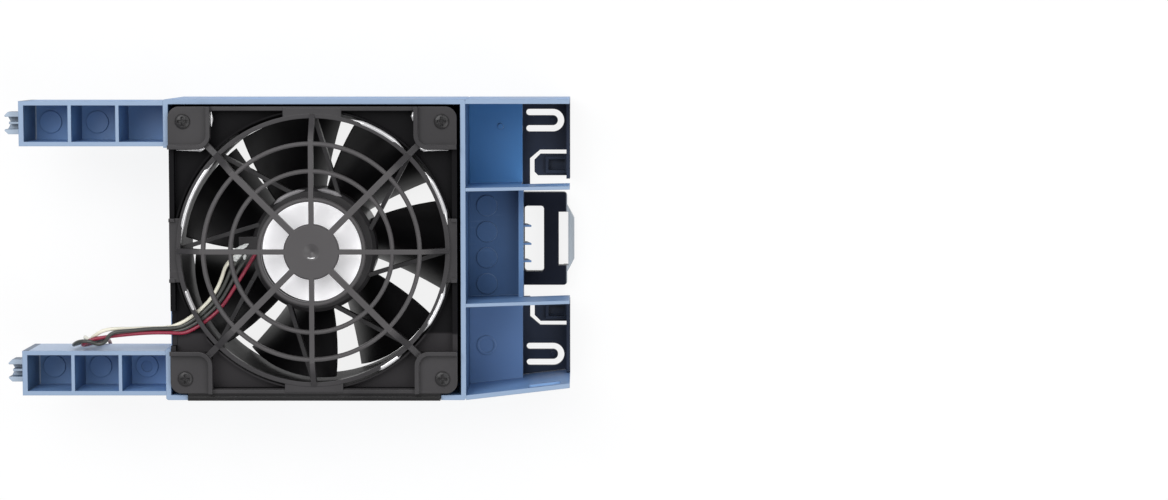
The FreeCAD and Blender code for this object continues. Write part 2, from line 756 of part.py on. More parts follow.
def guard_pad_shape(sx, sy):
    """Corner pad with its raised wall towards the fan."""
    outer, inner = fan_half, fan_half - guard_pad
    xs = sorted((sx * inner, sx * outer))
    ys = sorted((sy * inner, sy * outer))
    pad = box(xs[0], xs[1], ys[0], ys[1], guard_z0, guard_base_z1)
    wall = box(xs[0], xs[1], ys[0], ys[1], guard_z0, guard_base_z1 + guard_pad_wall_h)
    keep = guard_pad - guard_pad_wall
    core_x = sorted((sx * (outer - keep), sx * (outer + 5)))
    core_y = sorted((sy * (outer - keep), sy * (outer + 5)))
    both = []
    for shape, radius, clear in ((wall, guard_pad_round, None),
                                 (box(core_x[0], core_x[1], core_y[0], core_y[1],
                                      guard_base_z1, guard_base_z1 + 5),
                                  guard_pad_round - guard_pad_wall, None)):
        corner = [e for e in shape.Edges
                  if abs(e.Vertexes[0].Z - e.Vertexes[1].Z) > 1e-6
                  and abs(e.Vertexes[0].X) < fan_half - 1
                  and abs(e.Vertexes[0].Y) < fan_half - 1]
        both.append(shape.makeFillet(radius, corner))
    return both[0].cut(both[1])


def finger_guard():
    """Domed web of rings and spokes on a square base with corner pads and a skirt."""
    parts = []
    border = rounded_box(-fan_half, fan_half, -fan_half, fan_half, guard_z0, guard_base_z1,
                         guard_corner_r)
    inner = fan_half - guard_border
    border = border.cut(box(-fan_half - 1, fan_half + 1, -inner, inner,
                            guard_z0 - 1, guard_base_z1 + 1))
    parts.append(border)
    outline = rounded_box(-fan_half, fan_half, -fan_half, fan_half, guard_z0 - 1,
                          guard_base_z1 + 9, guard_corner_r)
    for sx in (-1, 1):
        for sy in (-1, 1):
            parts.append(guard_pad_shape(sx, sy).common(outline))
    half_w = guard_ring_w / 2
    bevel = guard_edge_bevel
    for r in (guard_outer_r * share for share in guard_ring_shares):
        parts.append(revolve([(r - half_w, guard_web_z0), (r + half_w, guard_web_z0),
                              (r + half_w, guard_web_z1 - bevel), (r + half_w - bevel, guard_web_z1),
                              (r - half_w + bevel, guard_web_z1),
                              (r - half_w, guard_web_z1 - bevel)]))
    parts.append(ring(guard_outer_r + half_w, guard_outer_r - half_w, guard_z0,
                      guard_base_z1 + guard_ring_rise))
    parts.append(revolve([(0, guard_web_z0), (guard_disc_r, guard_web_z0),
                          (guard_disc_r, guard_web_z1 - bevel), (guard_disc_r - bevel, guard_web_z1),
                          (guard_dimple_r, guard_web_z1), (0, guard_web_z1 - guard_dimple_depth)]))
    straight = guard_outer_r + half_w + EPS
    pad_corner = (fan_half - guard_pad) * math.sqrt(2) + guard_pad_round * (math.sqrt(2) - 1) + 0.8
    for i in range(8):
        diagonal = i % 2 == 1
        spoke = guard_spoke(pad_corner if diagonal else straight,
                            guard_spoke_w + (0.4 if diagonal else 0.0))
        parts.append(turned(spoke, 45.0 * i))
    for side in (-1, 1):
        ys = sorted((side * (guard_outer_r - guard_flat_start), side * (fan_half - 0.5)))
        parts.append(box(-guard_flat_w / 2, guard_flat_w / 2, ys[0], ys[1],
                         guard_z0, guard_base_z1 + guard_flat_rise))
        xs = sorted((side * (guard_outer_r - guard_flat_start), side * fan_half))
        parts.append(box(xs[0], xs[1], -guard_side_w / 2, guard_side_w / 2,
                         guard_z0, guard_base_z1 - guard_side_drop))
        xs = sorted((side * (fan_half - guard_nib[0]), side * fan_half))
        for end in (-1, 1):
            ys = sorted((end * guard_side_w / 2, end * (guard_side_w / 2 - guard_nib[1])))
            parts.append(box(xs[0], xs[1], ys[0], ys[1], guard_z0, guard_base_z1 + guard_nib[2]))
    skirt_y = -out_y
    web = box(-skirt_half, skirt_half, skirt_y + EPS, -fan_half + skirt_web_start,
              guard_z0, guard_z0 + skirt_web_t)
    lip = box(-skirt_half, skirt_half, skirt_y, skirt_y + skirt_t,
              rim_z - skirt_h + skirt_drop_clear, guard_base_z1 + skirt_rise)
    parts += [web, lip]
    guard = fused(parts)
    for sx in (-1, 1):
        for sy in (-1, 1):
            guard = guard.cut(cyl(rivet_r + 0.1, guard_z0 - 1, guard_base_z1 + 1,
                                  sx * hole_at, sy * hole_at))
    return guard


def guard_rivets():
    """Four push rivets that hold the guard on the frame's ears."""
    rivets = []
    for sx in (-1, 1):
        for sy in (-1, 1):
            x, y = sx * hole_at, sy * hole_at
            shank = cyl(rivet_r, guard_base_z1 - guard_base_t - rivet_grip, guard_base_z1, x, y)
            head = cyl(rivet_head_r, guard_base_z1, guard_base_z1 + rivet_head_t, x, y)
            rivets.append(fused([shank, head]))
    return Part.makeCompound(rivets)


# ---------------------------------------------------------------- carrier bracket
def locating_pin(y):
    """Two-pronged pin on the end of an arm, with a rib in its slot."""
    z0, z1 = pin_z - pin_height / 2, pin_z + pin_height / 2
    half = pin_width / 2
    body = prism([(arm_x0 + EPS, y - half), (arm_x0 + EPS, y + half),
                  (pin_x0 + pin_chamfer, y + half), (pin_x0, y + half - pin_chamfer),
                  (pin_x0 + pin_chamfer, y), (pin_x0, y - half + pin_chamfer),
                  (pin_x0 + pin_chamfer, y - half)], z0, z1)
    slot = box(pin_x0 - 1, arm_x0, y - pin_slot / 2, y + pin_slot / 2, z0 + pin_slot_floor, z1 + 1)
    rib = box(pin_x0 + pin_chamfer, arm_x0 + EPS, y - pin_rib_t / 2, y + pin_rib_t / 2,
              z0 + 0.5, z1 - 1.4)
    return body.cut(slot).fuse(rib)


def arm(y0, y1, ring_in_last):
    """Channel-shaped arm with three pockets and a locating pin, ending on the bay wall."""
    shell = box(arm_x0, out_x0, y0, y1, arm_z0, rim_z)
    inner_x0 = arm_x0 + wall_t
    length = (out_x0 - inner_x0 - (arm_pockets - 1) * arm_divider_t) / arm_pockets
    mid_y = (y0 + y1) / 2
    extras = []
    for i in range(arm_pockets):
        x0 = inner_x0 + i * (length + arm_divider_t)
        shell = shell.cut(box(x0, x0 + length, y0 + arm_rim_t, y1 - arm_rim_t,
                              arm_floor_top, rim_z + 1))
        centre = x0 + length / 2 - arm_boss_shift
        if i < arm_pockets - 1:
            extras.append(cyl(arm_boss_r, arm_floor_top - EPS, arm_floor_top + arm_boss_h,
                              centre, mid_y))
        elif ring_in_last:
            extras.append(ring(arm_boss_r, arm_boss_r / 2, arm_floor_top - EPS,
                               arm_floor_top + arm_boss_h, centre, mid_y))
    return fused([shell] + extras + [locating_pin(mid_y)])


def lower_wall_y(x):
    """Outer face of the tapering lower wall of the handle section."""
    return -out_y + head_taper * (x - out_x1) / head_length


def divider_y(x, root, rise):
    """Middle of a divider, which runs slightly askew."""
    return root + rise * (x - out_x1) / head_length


def divider(root, rise, floor_z, floor_x1):
    """Divider from the bay to the free end, cut away under its free part."""
    y_end = divider_y(head_x1, root, rise)
    half = divider_t / 2
    wall = prism([(out_x1, root - half), (head_x1, y_end - half), (head_x1, y_end + half),
                  (out_x1, root + half)], floor_z, rim_z)
    free = box(floor_x1, head_x1 + 1, root - 5, root + 5, floor_z - 1, rim_z - divider_free_depth)
    return wall.cut(free)


def cradle():
    """Socket under the lower arm that holds the connector housing."""
    half_w = connector_w / 2 + cradle_clear
    half_h = connector_h / 2 + cradle_clear
    y0, y1 = lower_arm[0], connector_y1 - cradle_inset
    outer = box(connector_x - half_w - cradle_wall, connector_x + half_w + cradle_wall, y0, y1,
                connector_mid_z - half_h - cradle_wall, connector_mid_z + half_h + cradle_wall)
    hollow = box(connector_x - half_w, connector_x + half_w, y0 - 1, y1 + 1,
                 connector_mid_z - half_h, connector_mid_z + half_h)
    cheeks = [box(x, x + cradle_wall, y0, y1, connector_mid_z + half_h, arm_z0 + EPS)
              for x in (connector_x - half_w - cradle_wall, connector_x + half_w)]
    return outer.fuse(cheeks).cut(hollow)


def handle_section():
    """Walls, dividers, floors and thumb wall beside the bay, ending on the bay wall."""
    inner_top = out_y - head_wall
    parts = [box(out_x1, head_x1, inner_top, out_y, 0, rim_z)]
    low0, low1 = lower_wall_y(out_x1), lower_wall_y(head_x1)
    parts.append(prism([(out_x1, low0), (head_x1, low1), (head_x1, low1 + head_wall),
                        (out_x1, low0 + head_wall)], 0, rim_z))
    parts.append(divider(upper_divider_y, upper_divider_rise, side_floor_z, side_floor_x1))
    parts.append(divider(lower_divider_y, lower_divider_rise, side_floor_z, side_floor_x1))
    x0, x1 = out_x1, side_floor_x1
    up0, up1 = upper_divider_y, divider_y(x1, upper_divider_y, upper_divider_rise)
    lo0, lo1 = lower_divider_y, divider_y(x1, lower_divider_y, lower_divider_rise)
    upper = [(x0, up0), (x1, up1), (x1, inner_top + EPS), (x0, inner_top + EPS)]
    lower = [(x0, low0 + 0.5), (x1, lower_wall_y(x1) + 0.5), (x1, lo1), (x0, lo0)]
    middle = [(x0, lo0), (mid_floor_x1, lo1), (mid_floor_x1, up1), (x0, up0)]
    for outline in (upper, lower):
        parts.append(prism(outline, side_floor_z, side_floor_z + floor_t))
    parts.append(prism(middle, mid_floor_z, mid_floor_z + floor_t))
    half_gap = slide_half + divider_t
    parts.append(box(x1 - step_wall_t, x1, grip_centre_y + half_gap, inner_top + EPS,
                     plate_top, side_floor_z + EPS))
    parts.append(box(x1 - step_wall_t, x1, lower_wall_y(x1) + 0.5, grip_centre_y - half_gap,
                     plate_top, side_floor_z + EPS))
    thumb_x = mid_floor_x1 + thumb_wall_t
    parts.append(box(mid_floor_x1 - EPS, thumb_x, lo1, up1, mid_floor_z, thumb_wall_top))
    for offset in gusset_offsets:
        y = grip_centre_y + offset
        parts.append(side_prism([(thumb_x - EPS, mid_floor_z), (thumb_x + gusset_foot, mid_floor_z),
                                 (thumb_x + gusset_reach, thumb_wall_top - 1.0),
                                 (thumb_x - EPS, thumb_wall_top - 1.0)],
                                y - gusset_t / 2, y + gusset_t / 2))
    for side in (-1, 1):
        y = grip_centre_y + side * hold_rib_offset
        parts.append(box(x0, mid_floor_x1, y - hold_rib_t / 2, y + hold_rib_t / 2,
                         handle_top + face_clear, mid_floor_z + EPS))
    for i in range(4):
        y = (lo0 + up0) / 2 - mid_mark_shift + (i - 1.5) * mid_mark_pitch
        parts.append(cyl(mid_mark_r, mid_floor_z + floor_t - EPS,
                         mid_floor_z + floor_t + mid_mark_h, out_x1 + 5.9, y))
    for x, y in (upper_peg, lower_peg):
        parts.append(cyl(peg_r, plate_top, side_floor_z + EPS, x, y))
        parts.append(cyl(peg_tip_r, plate_z - peg_stand_out, plate_top + EPS, x, y))
    floor_z = side_floor_z + floor_t
    parts.append(cyl(peg_mark[0], floor_z - EPS, floor_z + peg_mark[1], *upper_peg))
    parts.append(ring(peg_ring[0], peg_ring[1], floor_z - EPS, floor_z + peg_ring[2], *lower_peg))
    x0, x1 = (out_x1 + v for v in wall_window)
    z1, z0 = (rim_z - v for v in wall_window_drop)
    window = box(x0, x1, -out_y - 1, -out_y + head_taper + head_wall + EPS, z0, z1)
    return fused(parts).cut(window)


def carrier_bracket():
    """Square bay of the bracket; the arms and the handle section stand on its walls."""
    bay = rounded_box(out_x0, out_x1, -out_y, out_y, 0, rim_z, bay_round)
    bay = bay.cut(box(bay_x0, bay_x1, -bay_y, bay_y, back_t, rim_z + 1))
    bay = bay.cut(cyl(bore_r + back_open_margin, -1, back_t + 1))
    bay = bay.cut(box(out_x0 - 1, bay_x0 + EPS, lower_arm[1] + side_cut_margin,
                      upper_arm[0] - side_cut_margin, rim_z - side_cut_depth, rim_z + 1))
    skirt_gap = skirt_half + skirt_clear
    return bay.cut(box(-skirt_gap, skirt_gap, -out_y - 1, -bay_y + EPS, rim_z - skirt_h, rim_z + 1))


# ---------------------------------------------------------------- end plate
def u_slot(y):
    """U-shaped slot that frees a spring tongue, rounded at all its ends."""
    z0, z1 = plate_z - 1, plate_top + 1
    x_arc = u_slot_end_x - u_slot_half
    tongue = u_slot_half - u_slot_w
    outer = box(u_slot_start_x + u_slot_w / 2, x_arc, y - u_slot_half, y + u_slot_half, z0, z1)
    outer = outer.fuse(cyl(u_slot_half, z0, z1, x_arc, y))
    inner = box(u_slot_start_x - 1, x_arc, y - tongue, y + tongue, z0 - 1, z1 + 1)
    inner = inner.fuse(cyl(tongue, z0 - 1, z1 + 1, x_arc, y))
    slot = outer.cut(inner)
    for side in (-1, 1):
        slot = slot.fuse(cyl(u_slot_w / 2, z0, z1, u_slot_start_x + u_slot_w / 2,
                             y + side * (u_slot_half - u_slot_w / 2)))
    return slot


def snap_finger(side):
    """Finger that runs back from the end lip, with a raised frame round a pocket."""
    inner = grip_centre_y + side * finger_inner
    outer = grip_centre_y + side * (finger_inner + finger_width)
    mid = (inner + outer) / 2
    x1 = head_x1 - lip_t
    finger = prism([(finger_start_x + finger_chamfer, outer), (x1 + EPS, outer), (x1 + EPS, inner),
                    (finger_start_x + finger_chamfer * 0.6, inner),
                    (finger_start_x, inner + side * finger_chamfer * 0.6),
                    (finger_start_x, outer - side * finger_chamfer)], plate_z, plate_top)
    half = frame_width / 2
    frame = box(x1 - frame_length, x1 + EPS, mid - half, mid + half, plate_z, plate_top + frame_h)
    hole = box(x1 - frame_length + frame_rim, x1 - frame_rim * 0.5, mid - half + frame_rim,
               mid + half - frame_rim, plate_z + finger_floor_t, plate_top + frame_h + 1)
    return finger.fuse(frame).cut(hole)


def end_plate():
    """Black closing plate with spring tongues, snap fingers, end lips and slide rails."""
    x0, x1 = out_x1 + plate_start, head_x1
    top = out_y - head_wall - plate_gap
    low0 = lower_wall_y(x0) + head_wall + plate_gap
    low1 = lower_wall_y(x1) + head_wall + plate_gap
    plate = prism([(x0, low0), (x1, low1), (x1, top), (x0, top)], plate_z, plate_top)
    dx, dy = mouth_chamfer
    c, m = grip_centre_y, mouth_half
    relief_x, relief_y = out_x1 + mouth_relief[0], c - mouth_relief[1]
    mouth = prism([(x1 + 1, c - m), (mouth_start_x + dx, c - m), (mouth_start_x, c - m + dy),
                   (mouth_start_x, relief_y), (relief_x, relief_y),
                   (relief_x, c - slide_half), (slide_start_x, c - slide_half),
                   (slide_start_x, c + slide_half), (mouth_start_x, c + slide_half),
                   (mouth_start_x, c + m - dy), (mouth_start_x + dx, c + m), (x1 + 1, c + m)],
                  plate_z - 1, plate_top + 1)
    plate = plate.cut(mouth)
    lip_x0 = x1 - lip_t
    up_inner = c + finger_inner - lip_clear
    lo_inner = c - finger_inner + lip_clear
    parts = [plate, box(lip_x0, x1, up_inner, top, plate_z, lip_top),
             box(lip_x0, x1, low1, lo_inner, plate_z, lip_top),
             snap_finger(1), snap_finger(-1)]
    for side in (-1, 1):
        ys = sorted((c + side * slide_half, c + side * (handle_half + slide_clear)))
        parts.append(box(rail_start, rail_end_x, ys[0], ys[1], plate_z, handle_top))
        parts.append(cyl(nub_r, plate_top - EPS, plate_top + nub_h,
                         u_slot_end_x - u_slot_half, c + side * u_slot_offset))
    shape = fused(parts)
    for side in (-1, 1):
        shape = shape.cut(u_slot(c + side * u_slot_offset))
    for x, y in (upper_peg, lower_peg):
        shape = shape.cut(cyl(peg_tip_r + peg_clear, plate_z - 1, plate_top + 1, x, y))
    return shape


# ---------------------------------------------------------------- release handle
def latch_handle():
    """Sliding loop handle: a guided body, two windows and a rounded grip."""
    c = grip_centre_y
    body = rounded_box(handle_start, handle_end_x, c - handle_half, c + handle_half,
                       handle_z, handle_top, handle_corner)
    ears = [box(handle_start, handle_start + ear_length, c - handle_half - ear_width,
                c + handle_half + ear_width, handle_z, handle_top)]
    grip_x0 = handle_end_x - handle_corner
    grip = prism([(grip_x0, c - grip_half - grip_taper), (handle_end_x, c - grip_half - grip_taper),
                  (grip_x1, c - grip_half + grip_taper), (grip_x1, c + grip_half - grip_taper),
                  (handle_end_x, c + grip_half + grip_taper), (grip_x0, c + grip_half + grip_taper)],
                 handle_z - grip_drop, handle_top)
    edges = [e for e in grip.Edges
             if min(v.X for v in e.Vertexes) > grip_x1 - 0.01
             and abs(e.Vertexes[0].Y - e.Vertexes[1].Y) > 1]
    grip = grip.makeFillet(grip_chamfer, edges)
    shape = fused([body] + ears + [grip])
    window = rounded_box(window_start_x, window_end_x, c - window_half, c + window_half,
                         handle_z - 5, handle_top + 1, window_corner)
    slot = box(slot_start_x, slot_end_x, c - slot_half, c + slot_half, handle_z - 5, handle_top + 1)
    bore = Part.makeCylinder(spring_bore_r, spring_seat + 1,
                             V(handle_start - 1, c, handle_z + handle_t / 2), V(1, 0, 0))
    for cutter in (window, slot, bore):
        shape = shape.cut(cutter)
    return shape


def return_spring():
    """Compression spring from the bay wall to the bottom of the handle's bore."""
    x0 = out_x1 + 0.05
    x1 = handle_start + spring_seat - 0.05
    length = x1 - x0 - 2 * spring_wire_r
    radius = spring_r - spring_wire_r
    helix = Part.makeHelix(length / spring_turns, length, radius)
    section = Part.Wire(Part.makeCircle(spring_wire_r, V(radius, 0, 0), V(0, 1, 0)))
    coil = Part.Wire(helix.Edges).makePipeShell([section], True, True)
    coil.rotate(V(0, 0, 0), V(0, 1, 0), 90)
    coil.translate(V(x0 + spring_wire_r, grip_centre_y, handle_z + handle_t / 2))
    return coil


# ---------------------------------------------------------------- lead and connector
def wire_tube(name, groups):
    """Round tube along straight runs joined by tangent arcs."""
    corners = (V(-motor_base_r, 0, base_z1), V(out_x0, -out_y, rim_z),
               V(connector_x, connector_y1, connector_mid_z))
    pts = [corner + V(*offset) for corner, group in zip(corners, groups) for offset in group]
    edges = []
    start = pts[0]
    radii = []
    for before, corner, after in zip(pts, pts[1:], pts[2:]):
        into, out = corner - before, after - corner
        turn = into.getAngle(out)
        reach = 0.45 * min(into.Length, out.Length)
        radii.append(reach / math.tan(turn / 2))
        a = corner - into.normalize() * reach
        b = corner + out.normalize() * reach
        centre_dir = (a + b) * 0.5 - corner
        bulge = radii[-1] * (1 / math.cos(turn / 2) - 1)
        middle = corner + centre_dir.normalize() * bulge
        edges.append(Part.LineSegment(start, a).toShape())
        edges.append(Part.Arc(a, middle, b).toShape())
        start = b
    edges.append(Part.LineSegment(start, pts[-1]).toShape())
    path = Part.Wire(edges)
    first = pts[1] - pts[0]
    section = Part.Wire(Part.makeCircle(wire_d / 2, pts[0], first))
    tube = path.makePipeShell([section], True, False)
    expected = math.pi * wire_d ** 2 / 4 * path.Length
    print("%-12s length %6.1f  least radius %4.1f  volume ratio %.4f"
          % (name, path.Length, min(radii), tube.Volume / expected))
    return tube


def contact_x(i):
    """Place of one contact across the connector."""
    return connector_x + (i - 1.5) * contact_pitch


def connector_housing():
    """Four-way housing with a polarising key; one cavity per contact."""
    y0, y1 = connector_y0, connector_y1
    half_w, half_h = connector_w / 2, connector_h / 2
    body = box(connector_x - half_w, connector_x + half_w, y0, y1,
               connector_mid_z - half_h, connector_mid_z + half_h)
    for i in range(4):
        x = contact_x(i)
        half = contact_w / 2
        body = body.cut(box(x - half, x + half, y0 - 1, y1 - contact_inset,
                            connector_mid_z - half, connector_mid_z + half))
    return body


def connector_contacts():
    """Four box contacts, one in each cavity, open at the mating end."""
    y0, y1 = connector_y0 + contact_inset, connector_y1 - contact_inset
    contacts = []
    for i in range(4):
        x = contact_x(i)
        half = contact_w / 2 - 0.02
        inner = half - contact_wall
        shell = box(x - half, x + half, y0, y1, connector_mid_z - half, connector_mid_z + half)
        contacts.append(shell.cut(box(x - inner, x + inner, y0 - 1, y1 - 1.0,
                                      connector_mid_z - inner, connector_mid_z + inner)))
    return Part.makeCompound(contacts)


def main():
    """Build and write every part."""
    os.makedirs(OUT, exist_ok=True)
    save("carrier_bracket", carrier_bracket())
    save("upper_arm", arm(upper_arm[0], upper_arm[1], False))
    lower = fused([arm(lower_arm[0], lower_arm[1], True), cradle()])
    save("lower_arm", lower)
    save("handle_section", handle_section())
    save("end_plate", end_plate())
    save("latch_handle", latch_handle())
    save("return_spring", return_spring())
    save("fan_frame", fan_frame())
    save("motor_mount", motor_mount())
    save("motor_label", cyl(motor_base_r - label_inset, base_z1, base_z1 + label_t))
    save("finger_guard", finger_guard())
    save("guard_rivets", guard_rivets())
    save("impeller", impeller())
    save("rotor_cup", rotor_cup())
    save("magnet_ring", magnet_ring())
    save("rotor_shaft", rotor_shaft())
    save("retaining_clip", retaining_clip())
    save("preload_washer", preload_washer())
    race_mid = (shaft_r + bearing_or) / 2
    save("bearing_outer_rings", bearing_rings(bearing_or, bearing_or - race_t, race_mid))
    save("bearing_inner_rings", bearing_rings(shaft_r + race_t, shaft_r, race_mid))
    save("bearing_balls", bearing_balls())
    save("bearing_tube", bearing_tube())
    save("stator_core", stator_core())
    save("stator_insulator", stator_insulator())
    save("stator_windings", stator_windings())
    save("circuit_board", circuit_board())
    save("board_components", board_components())
    for name, groups in ROUTES.items():
        save(name, wire_tube(name, groups))
    save("connector_housing", connector_housing())
    save("connector_contacts", connector_contacts())
    whole = Part.makeCompound(list(made.values()))
    b = whole.BoundBox
    print("box X %.2f %.2f  Y %.2f %.2f  Z %.2f %.2f" % (b.XMin, b.XMax, b.YMin, b.YMax,
                                                          b.ZMin, b.ZMax))


main()
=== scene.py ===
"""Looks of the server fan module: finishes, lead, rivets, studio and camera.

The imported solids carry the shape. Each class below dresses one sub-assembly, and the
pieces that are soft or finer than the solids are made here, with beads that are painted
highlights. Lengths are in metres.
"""
import logging
import math
from dataclasses import dataclass, replace
from enum import Enum
from typing import Callable, Sequence

import bmesh
import bpy
from mathutils import Matrix, Vector, noise


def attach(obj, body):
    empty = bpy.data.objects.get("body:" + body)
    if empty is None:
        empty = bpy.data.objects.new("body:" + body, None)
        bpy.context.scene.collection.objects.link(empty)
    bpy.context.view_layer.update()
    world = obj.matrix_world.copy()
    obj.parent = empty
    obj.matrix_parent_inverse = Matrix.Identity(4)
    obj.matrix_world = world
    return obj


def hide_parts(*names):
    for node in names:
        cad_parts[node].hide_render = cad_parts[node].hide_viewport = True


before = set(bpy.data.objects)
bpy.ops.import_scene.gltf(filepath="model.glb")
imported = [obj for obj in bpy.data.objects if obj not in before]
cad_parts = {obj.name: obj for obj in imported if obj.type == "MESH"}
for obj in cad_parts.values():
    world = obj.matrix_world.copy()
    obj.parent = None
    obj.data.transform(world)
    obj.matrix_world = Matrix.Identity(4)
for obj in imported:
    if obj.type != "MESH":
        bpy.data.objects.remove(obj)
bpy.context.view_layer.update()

log = logging.getLogger("fan_module")
MM = 0.001
FAN_X = 8.2 * MM          # fan axis in the frame of the part
FACING_RANGE = (0.5, 0.9)  # how far a normal leans before a face counts, and counts fully
Colour = tuple[float, float, float]
Point = tuple[float, float, float]


class Body(Enum):
    """Bodies of the moving model that pieces ride on."""

    CARRIER = "carrier"
    ROTOR = "rotor"
    HANDLE = "handle"


# ---------------------------------------------------------------- node helpers
class Graph:
    """Short way to place and link the nodes of one node tree."""

    def __init__(self, tree: bpy.types.NodeTree) -> None:
        """Keep the tree that the nodes go in."""
        self.tree = tree

    def add(self, kind: str, **values: object) -> bpy.types.Node:
        """Place a node.

        Args:
            kind: Type of the node.
            values: Attributes of the node, and its inputs by name with a leading "in_".

        Returns:
            The new node.
        """
        node = self.tree.nodes.new(kind)
        for key, value in values.items():
            if key.startswith("in_"):
                self.feed(node, key[3:].replace("_", " "), value)
            else:
                setattr(node, key, value)
        return node

    def feed(self, node: bpy.types.Node, name: str, value: object) -> None:
        """Link a socket to an input, or set the input's value.

        Args:
            node: Node that has the input.
            name: Name of the input, in any case, or its number as text.
            value: A socket, a number or a vector.
        """
        if name.isdigit():
            socket = node.inputs[int(name)]
        else:
            socket = next(s for s in node.inputs if s.name.lower() == name.lower())
        if isinstance(value, bpy.types.NodeSocket):
            self.tree.links.new(value, socket)
        else:
            socket.default_value = value

    def math(self, operation: str, a: object, b: object = 0.0,
             clamp: bool = False) -> bpy.types.NodeSocket:
        """Arithmetic on two values.

        Args:
            operation: Name of the operation.
            a: First value or socket.
            b: Second value or socket.
            clamp: Keep the result from 0 to 1.

        Returns:
            The result's socket.
        """
        node = self.add("ShaderNodeMath", operation=operation, use_clamp=clamp)
        self.feed(node, "0", a)
        self.feed(node, "1", b)
        return node.outputs[0]

    def blend(self, factor: object, a: object, b: object) -> bpy.types.NodeSocket:
        """Mix two colours.

        Args:
            factor: Share of the second colour.
            a: First colour or socket.
            b: Second colour or socket.

        Returns:
            The mixed colour's socket.
        """
        node = self.add("ShaderNodeMix", data_type="RGBA", blend_type="MIX")
        self.feed(node, "0", factor)
        self.feed(node, "6", a)
        self.feed(node, "7", b)
        return node.outputs[2]

    def span(self, value: object, low: float, high: float, to_low: float = 0.0,
             to_high: float = 1.0) -> bpy.types.NodeSocket:
        """Map a value from one range to another, with smooth ends.

        Args:
            value: Value or socket.
            low: Start of the range that goes in.
            high: End of the range that goes in.
            to_low: Start of the range that comes out.
            to_high: End of the range that comes out.

        Returns:
            The mapped value's socket.
        """
        node = self.add("ShaderNodeMapRange", interpolation_type="SMOOTHSTEP")
        for index, number in enumerate((value, low, high, to_low, to_high)):
            self.feed(node, str(index), number)
        return node.outputs[0]

    def place(self) -> bpy.types.NodeSocket:
        """Where a point of the object lies."""
        return self.add("ShaderNodeTexCoord").outputs["Object"]

    def parts(self, vector: bpy.types.NodeSocket) -> bpy.types.NodeOutputs:
        """The X, Y and Z of a vector."""
        return self.add("ShaderNodeSeparateXYZ", in_Vector=vector).outputs

    def facing(self) -> bpy.types.NodeOutputs:
        """The X, Y and Z of the way a face looks."""
        return self.parts(self.add("ShaderNodeNewGeometry").outputs["True Normal"])

    def relief(self, shader: bpy.types.Node, height: bpy.types.NodeSocket, strength: float,
               distance: float, **values: object) -> None:
        """Give a shader a bumpy surface.

        Args:
            shader: Principled node.
            height: Height of the bumps.
            strength: How strong they look.
            distance: How high they are.
            values: Further inputs by name, with a leading "in_".
        """
        bump = self.add("ShaderNodeBump", in_Strength=strength, in_Distance=distance,
                        in_Height=height, **values)
        self.feed(shader, "Normal", bump.outputs[0])


def rgba(colour: Colour) -> tuple[float, float, float, float]:
    """A colour with full alpha."""
    return (*colour, 1.0)


# ---------------------------------------------------------------- shared effects
@dataclass(frozen=True)
class Effect:
    """A shader node group that several finishes share, built on first use."""

    name: str
    inputs: tuple[tuple[str, str, float], ...]
    outputs: tuple[tuple[str, str], ...]
    fill: Callable[[Graph, bpy.types.Node, bpy.types.Node], None]

    def group(self) -> bpy.types.NodeTree:
        """The group itself, built if it isn't there yet.

        Returns:
            Its node tree.
        """
        found = bpy.data.node_groups.get(self.name)
        if found:
            return found
        tree = bpy.data.node_groups.new(self.name, "ShaderNodeTree")
        for name, kind, value in self.inputs:
            socket = tree.interface.new_socket(name, in_out="INPUT", socket_type=kind)
            socket.default_value = value
        for name, kind in self.outputs:
            tree.interface.new_socket(name, in_out="OUTPUT", socket_type=kind)
        graph = Graph(tree)
        start, end = graph.add("NodeGroupInput"), graph.add("NodeGroupOutput")
        self.fill(graph, start, end)
        return tree

    def place(self, graph: Graph, **values: object) -> bpy.types.Node:
        """Put the group in a material.

        Args:
            graph: Graph of the material.
            values: Its inputs by name, underscores for spaces.

        Returns:
            The group's node.
        """
        node = graph.add("ShaderNodeGroup", node_tree=self.group())
        for name, value in values.items():
            graph.feed(node, name.replace("_", " "), value)
        return node


def fill_grain(graph: Graph, start: bpy.types.Node, end: bpy.types.Node) -> None:
    """Fine moulded grain over a slow, cloudy change of tone.

    Args:
        graph: Graph of the group.
        start: Its input node.
        end: Its output node.
    """
    place = graph.place()
    fine = graph.add("ShaderNodeTexNoise", in_Vector=place, in_Scale=start.outputs["Scale"],
                     in_Detail=3.0, in_Roughness=0.6)
    slow = graph.add("ShaderNodeTexNoise", in_Vector=place, in_Scale=38.0, in_Detail=4.0,
                     in_Roughness=0.55)
    graph.feed(end, "Height", fine.outputs["Fac"])
    graph.feed(end, "Tone", graph.span(slow.outputs["Fac"], 0.3, 0.7))
    mixed = graph.math("ADD", graph.math("MULTIPLY", fine.outputs["Fac"], 0.4),
                       graph.math("MULTIPLY", slow.outputs["Fac"], 0.6))
    graph.feed(end, "Gloss", graph.span(mixed, 0.35, 0.65))


def fill_edges(graph: Graph, start: bpy.types.Node, end: bpy.types.Node) -> None:
    """Softened edges, and a mask that is 1 on them.

    Args:
        graph: Graph of the group.
        start: Its input node.
        end: Its output node.
    """
    soft = graph.add("ShaderNodeBevel", samples=6, in_Radius=start.outputs["Radius"])
    true = graph.add("ShaderNodeNewGeometry").outputs["True Normal"]
    dot = graph.add("ShaderNodeVectorMath", operation="DOT_PRODUCT")
    graph.feed(dot, "0", soft.outputs[0])
    graph.feed(dot, "1", true)
    lean = graph.math("SUBTRACT", 1.0, dot.outputs["Value"])
    graph.feed(end, "Mask", graph.span(lean, 0.02, 0.3))
    graph.feed(end, "Normal", soft.outputs[0])


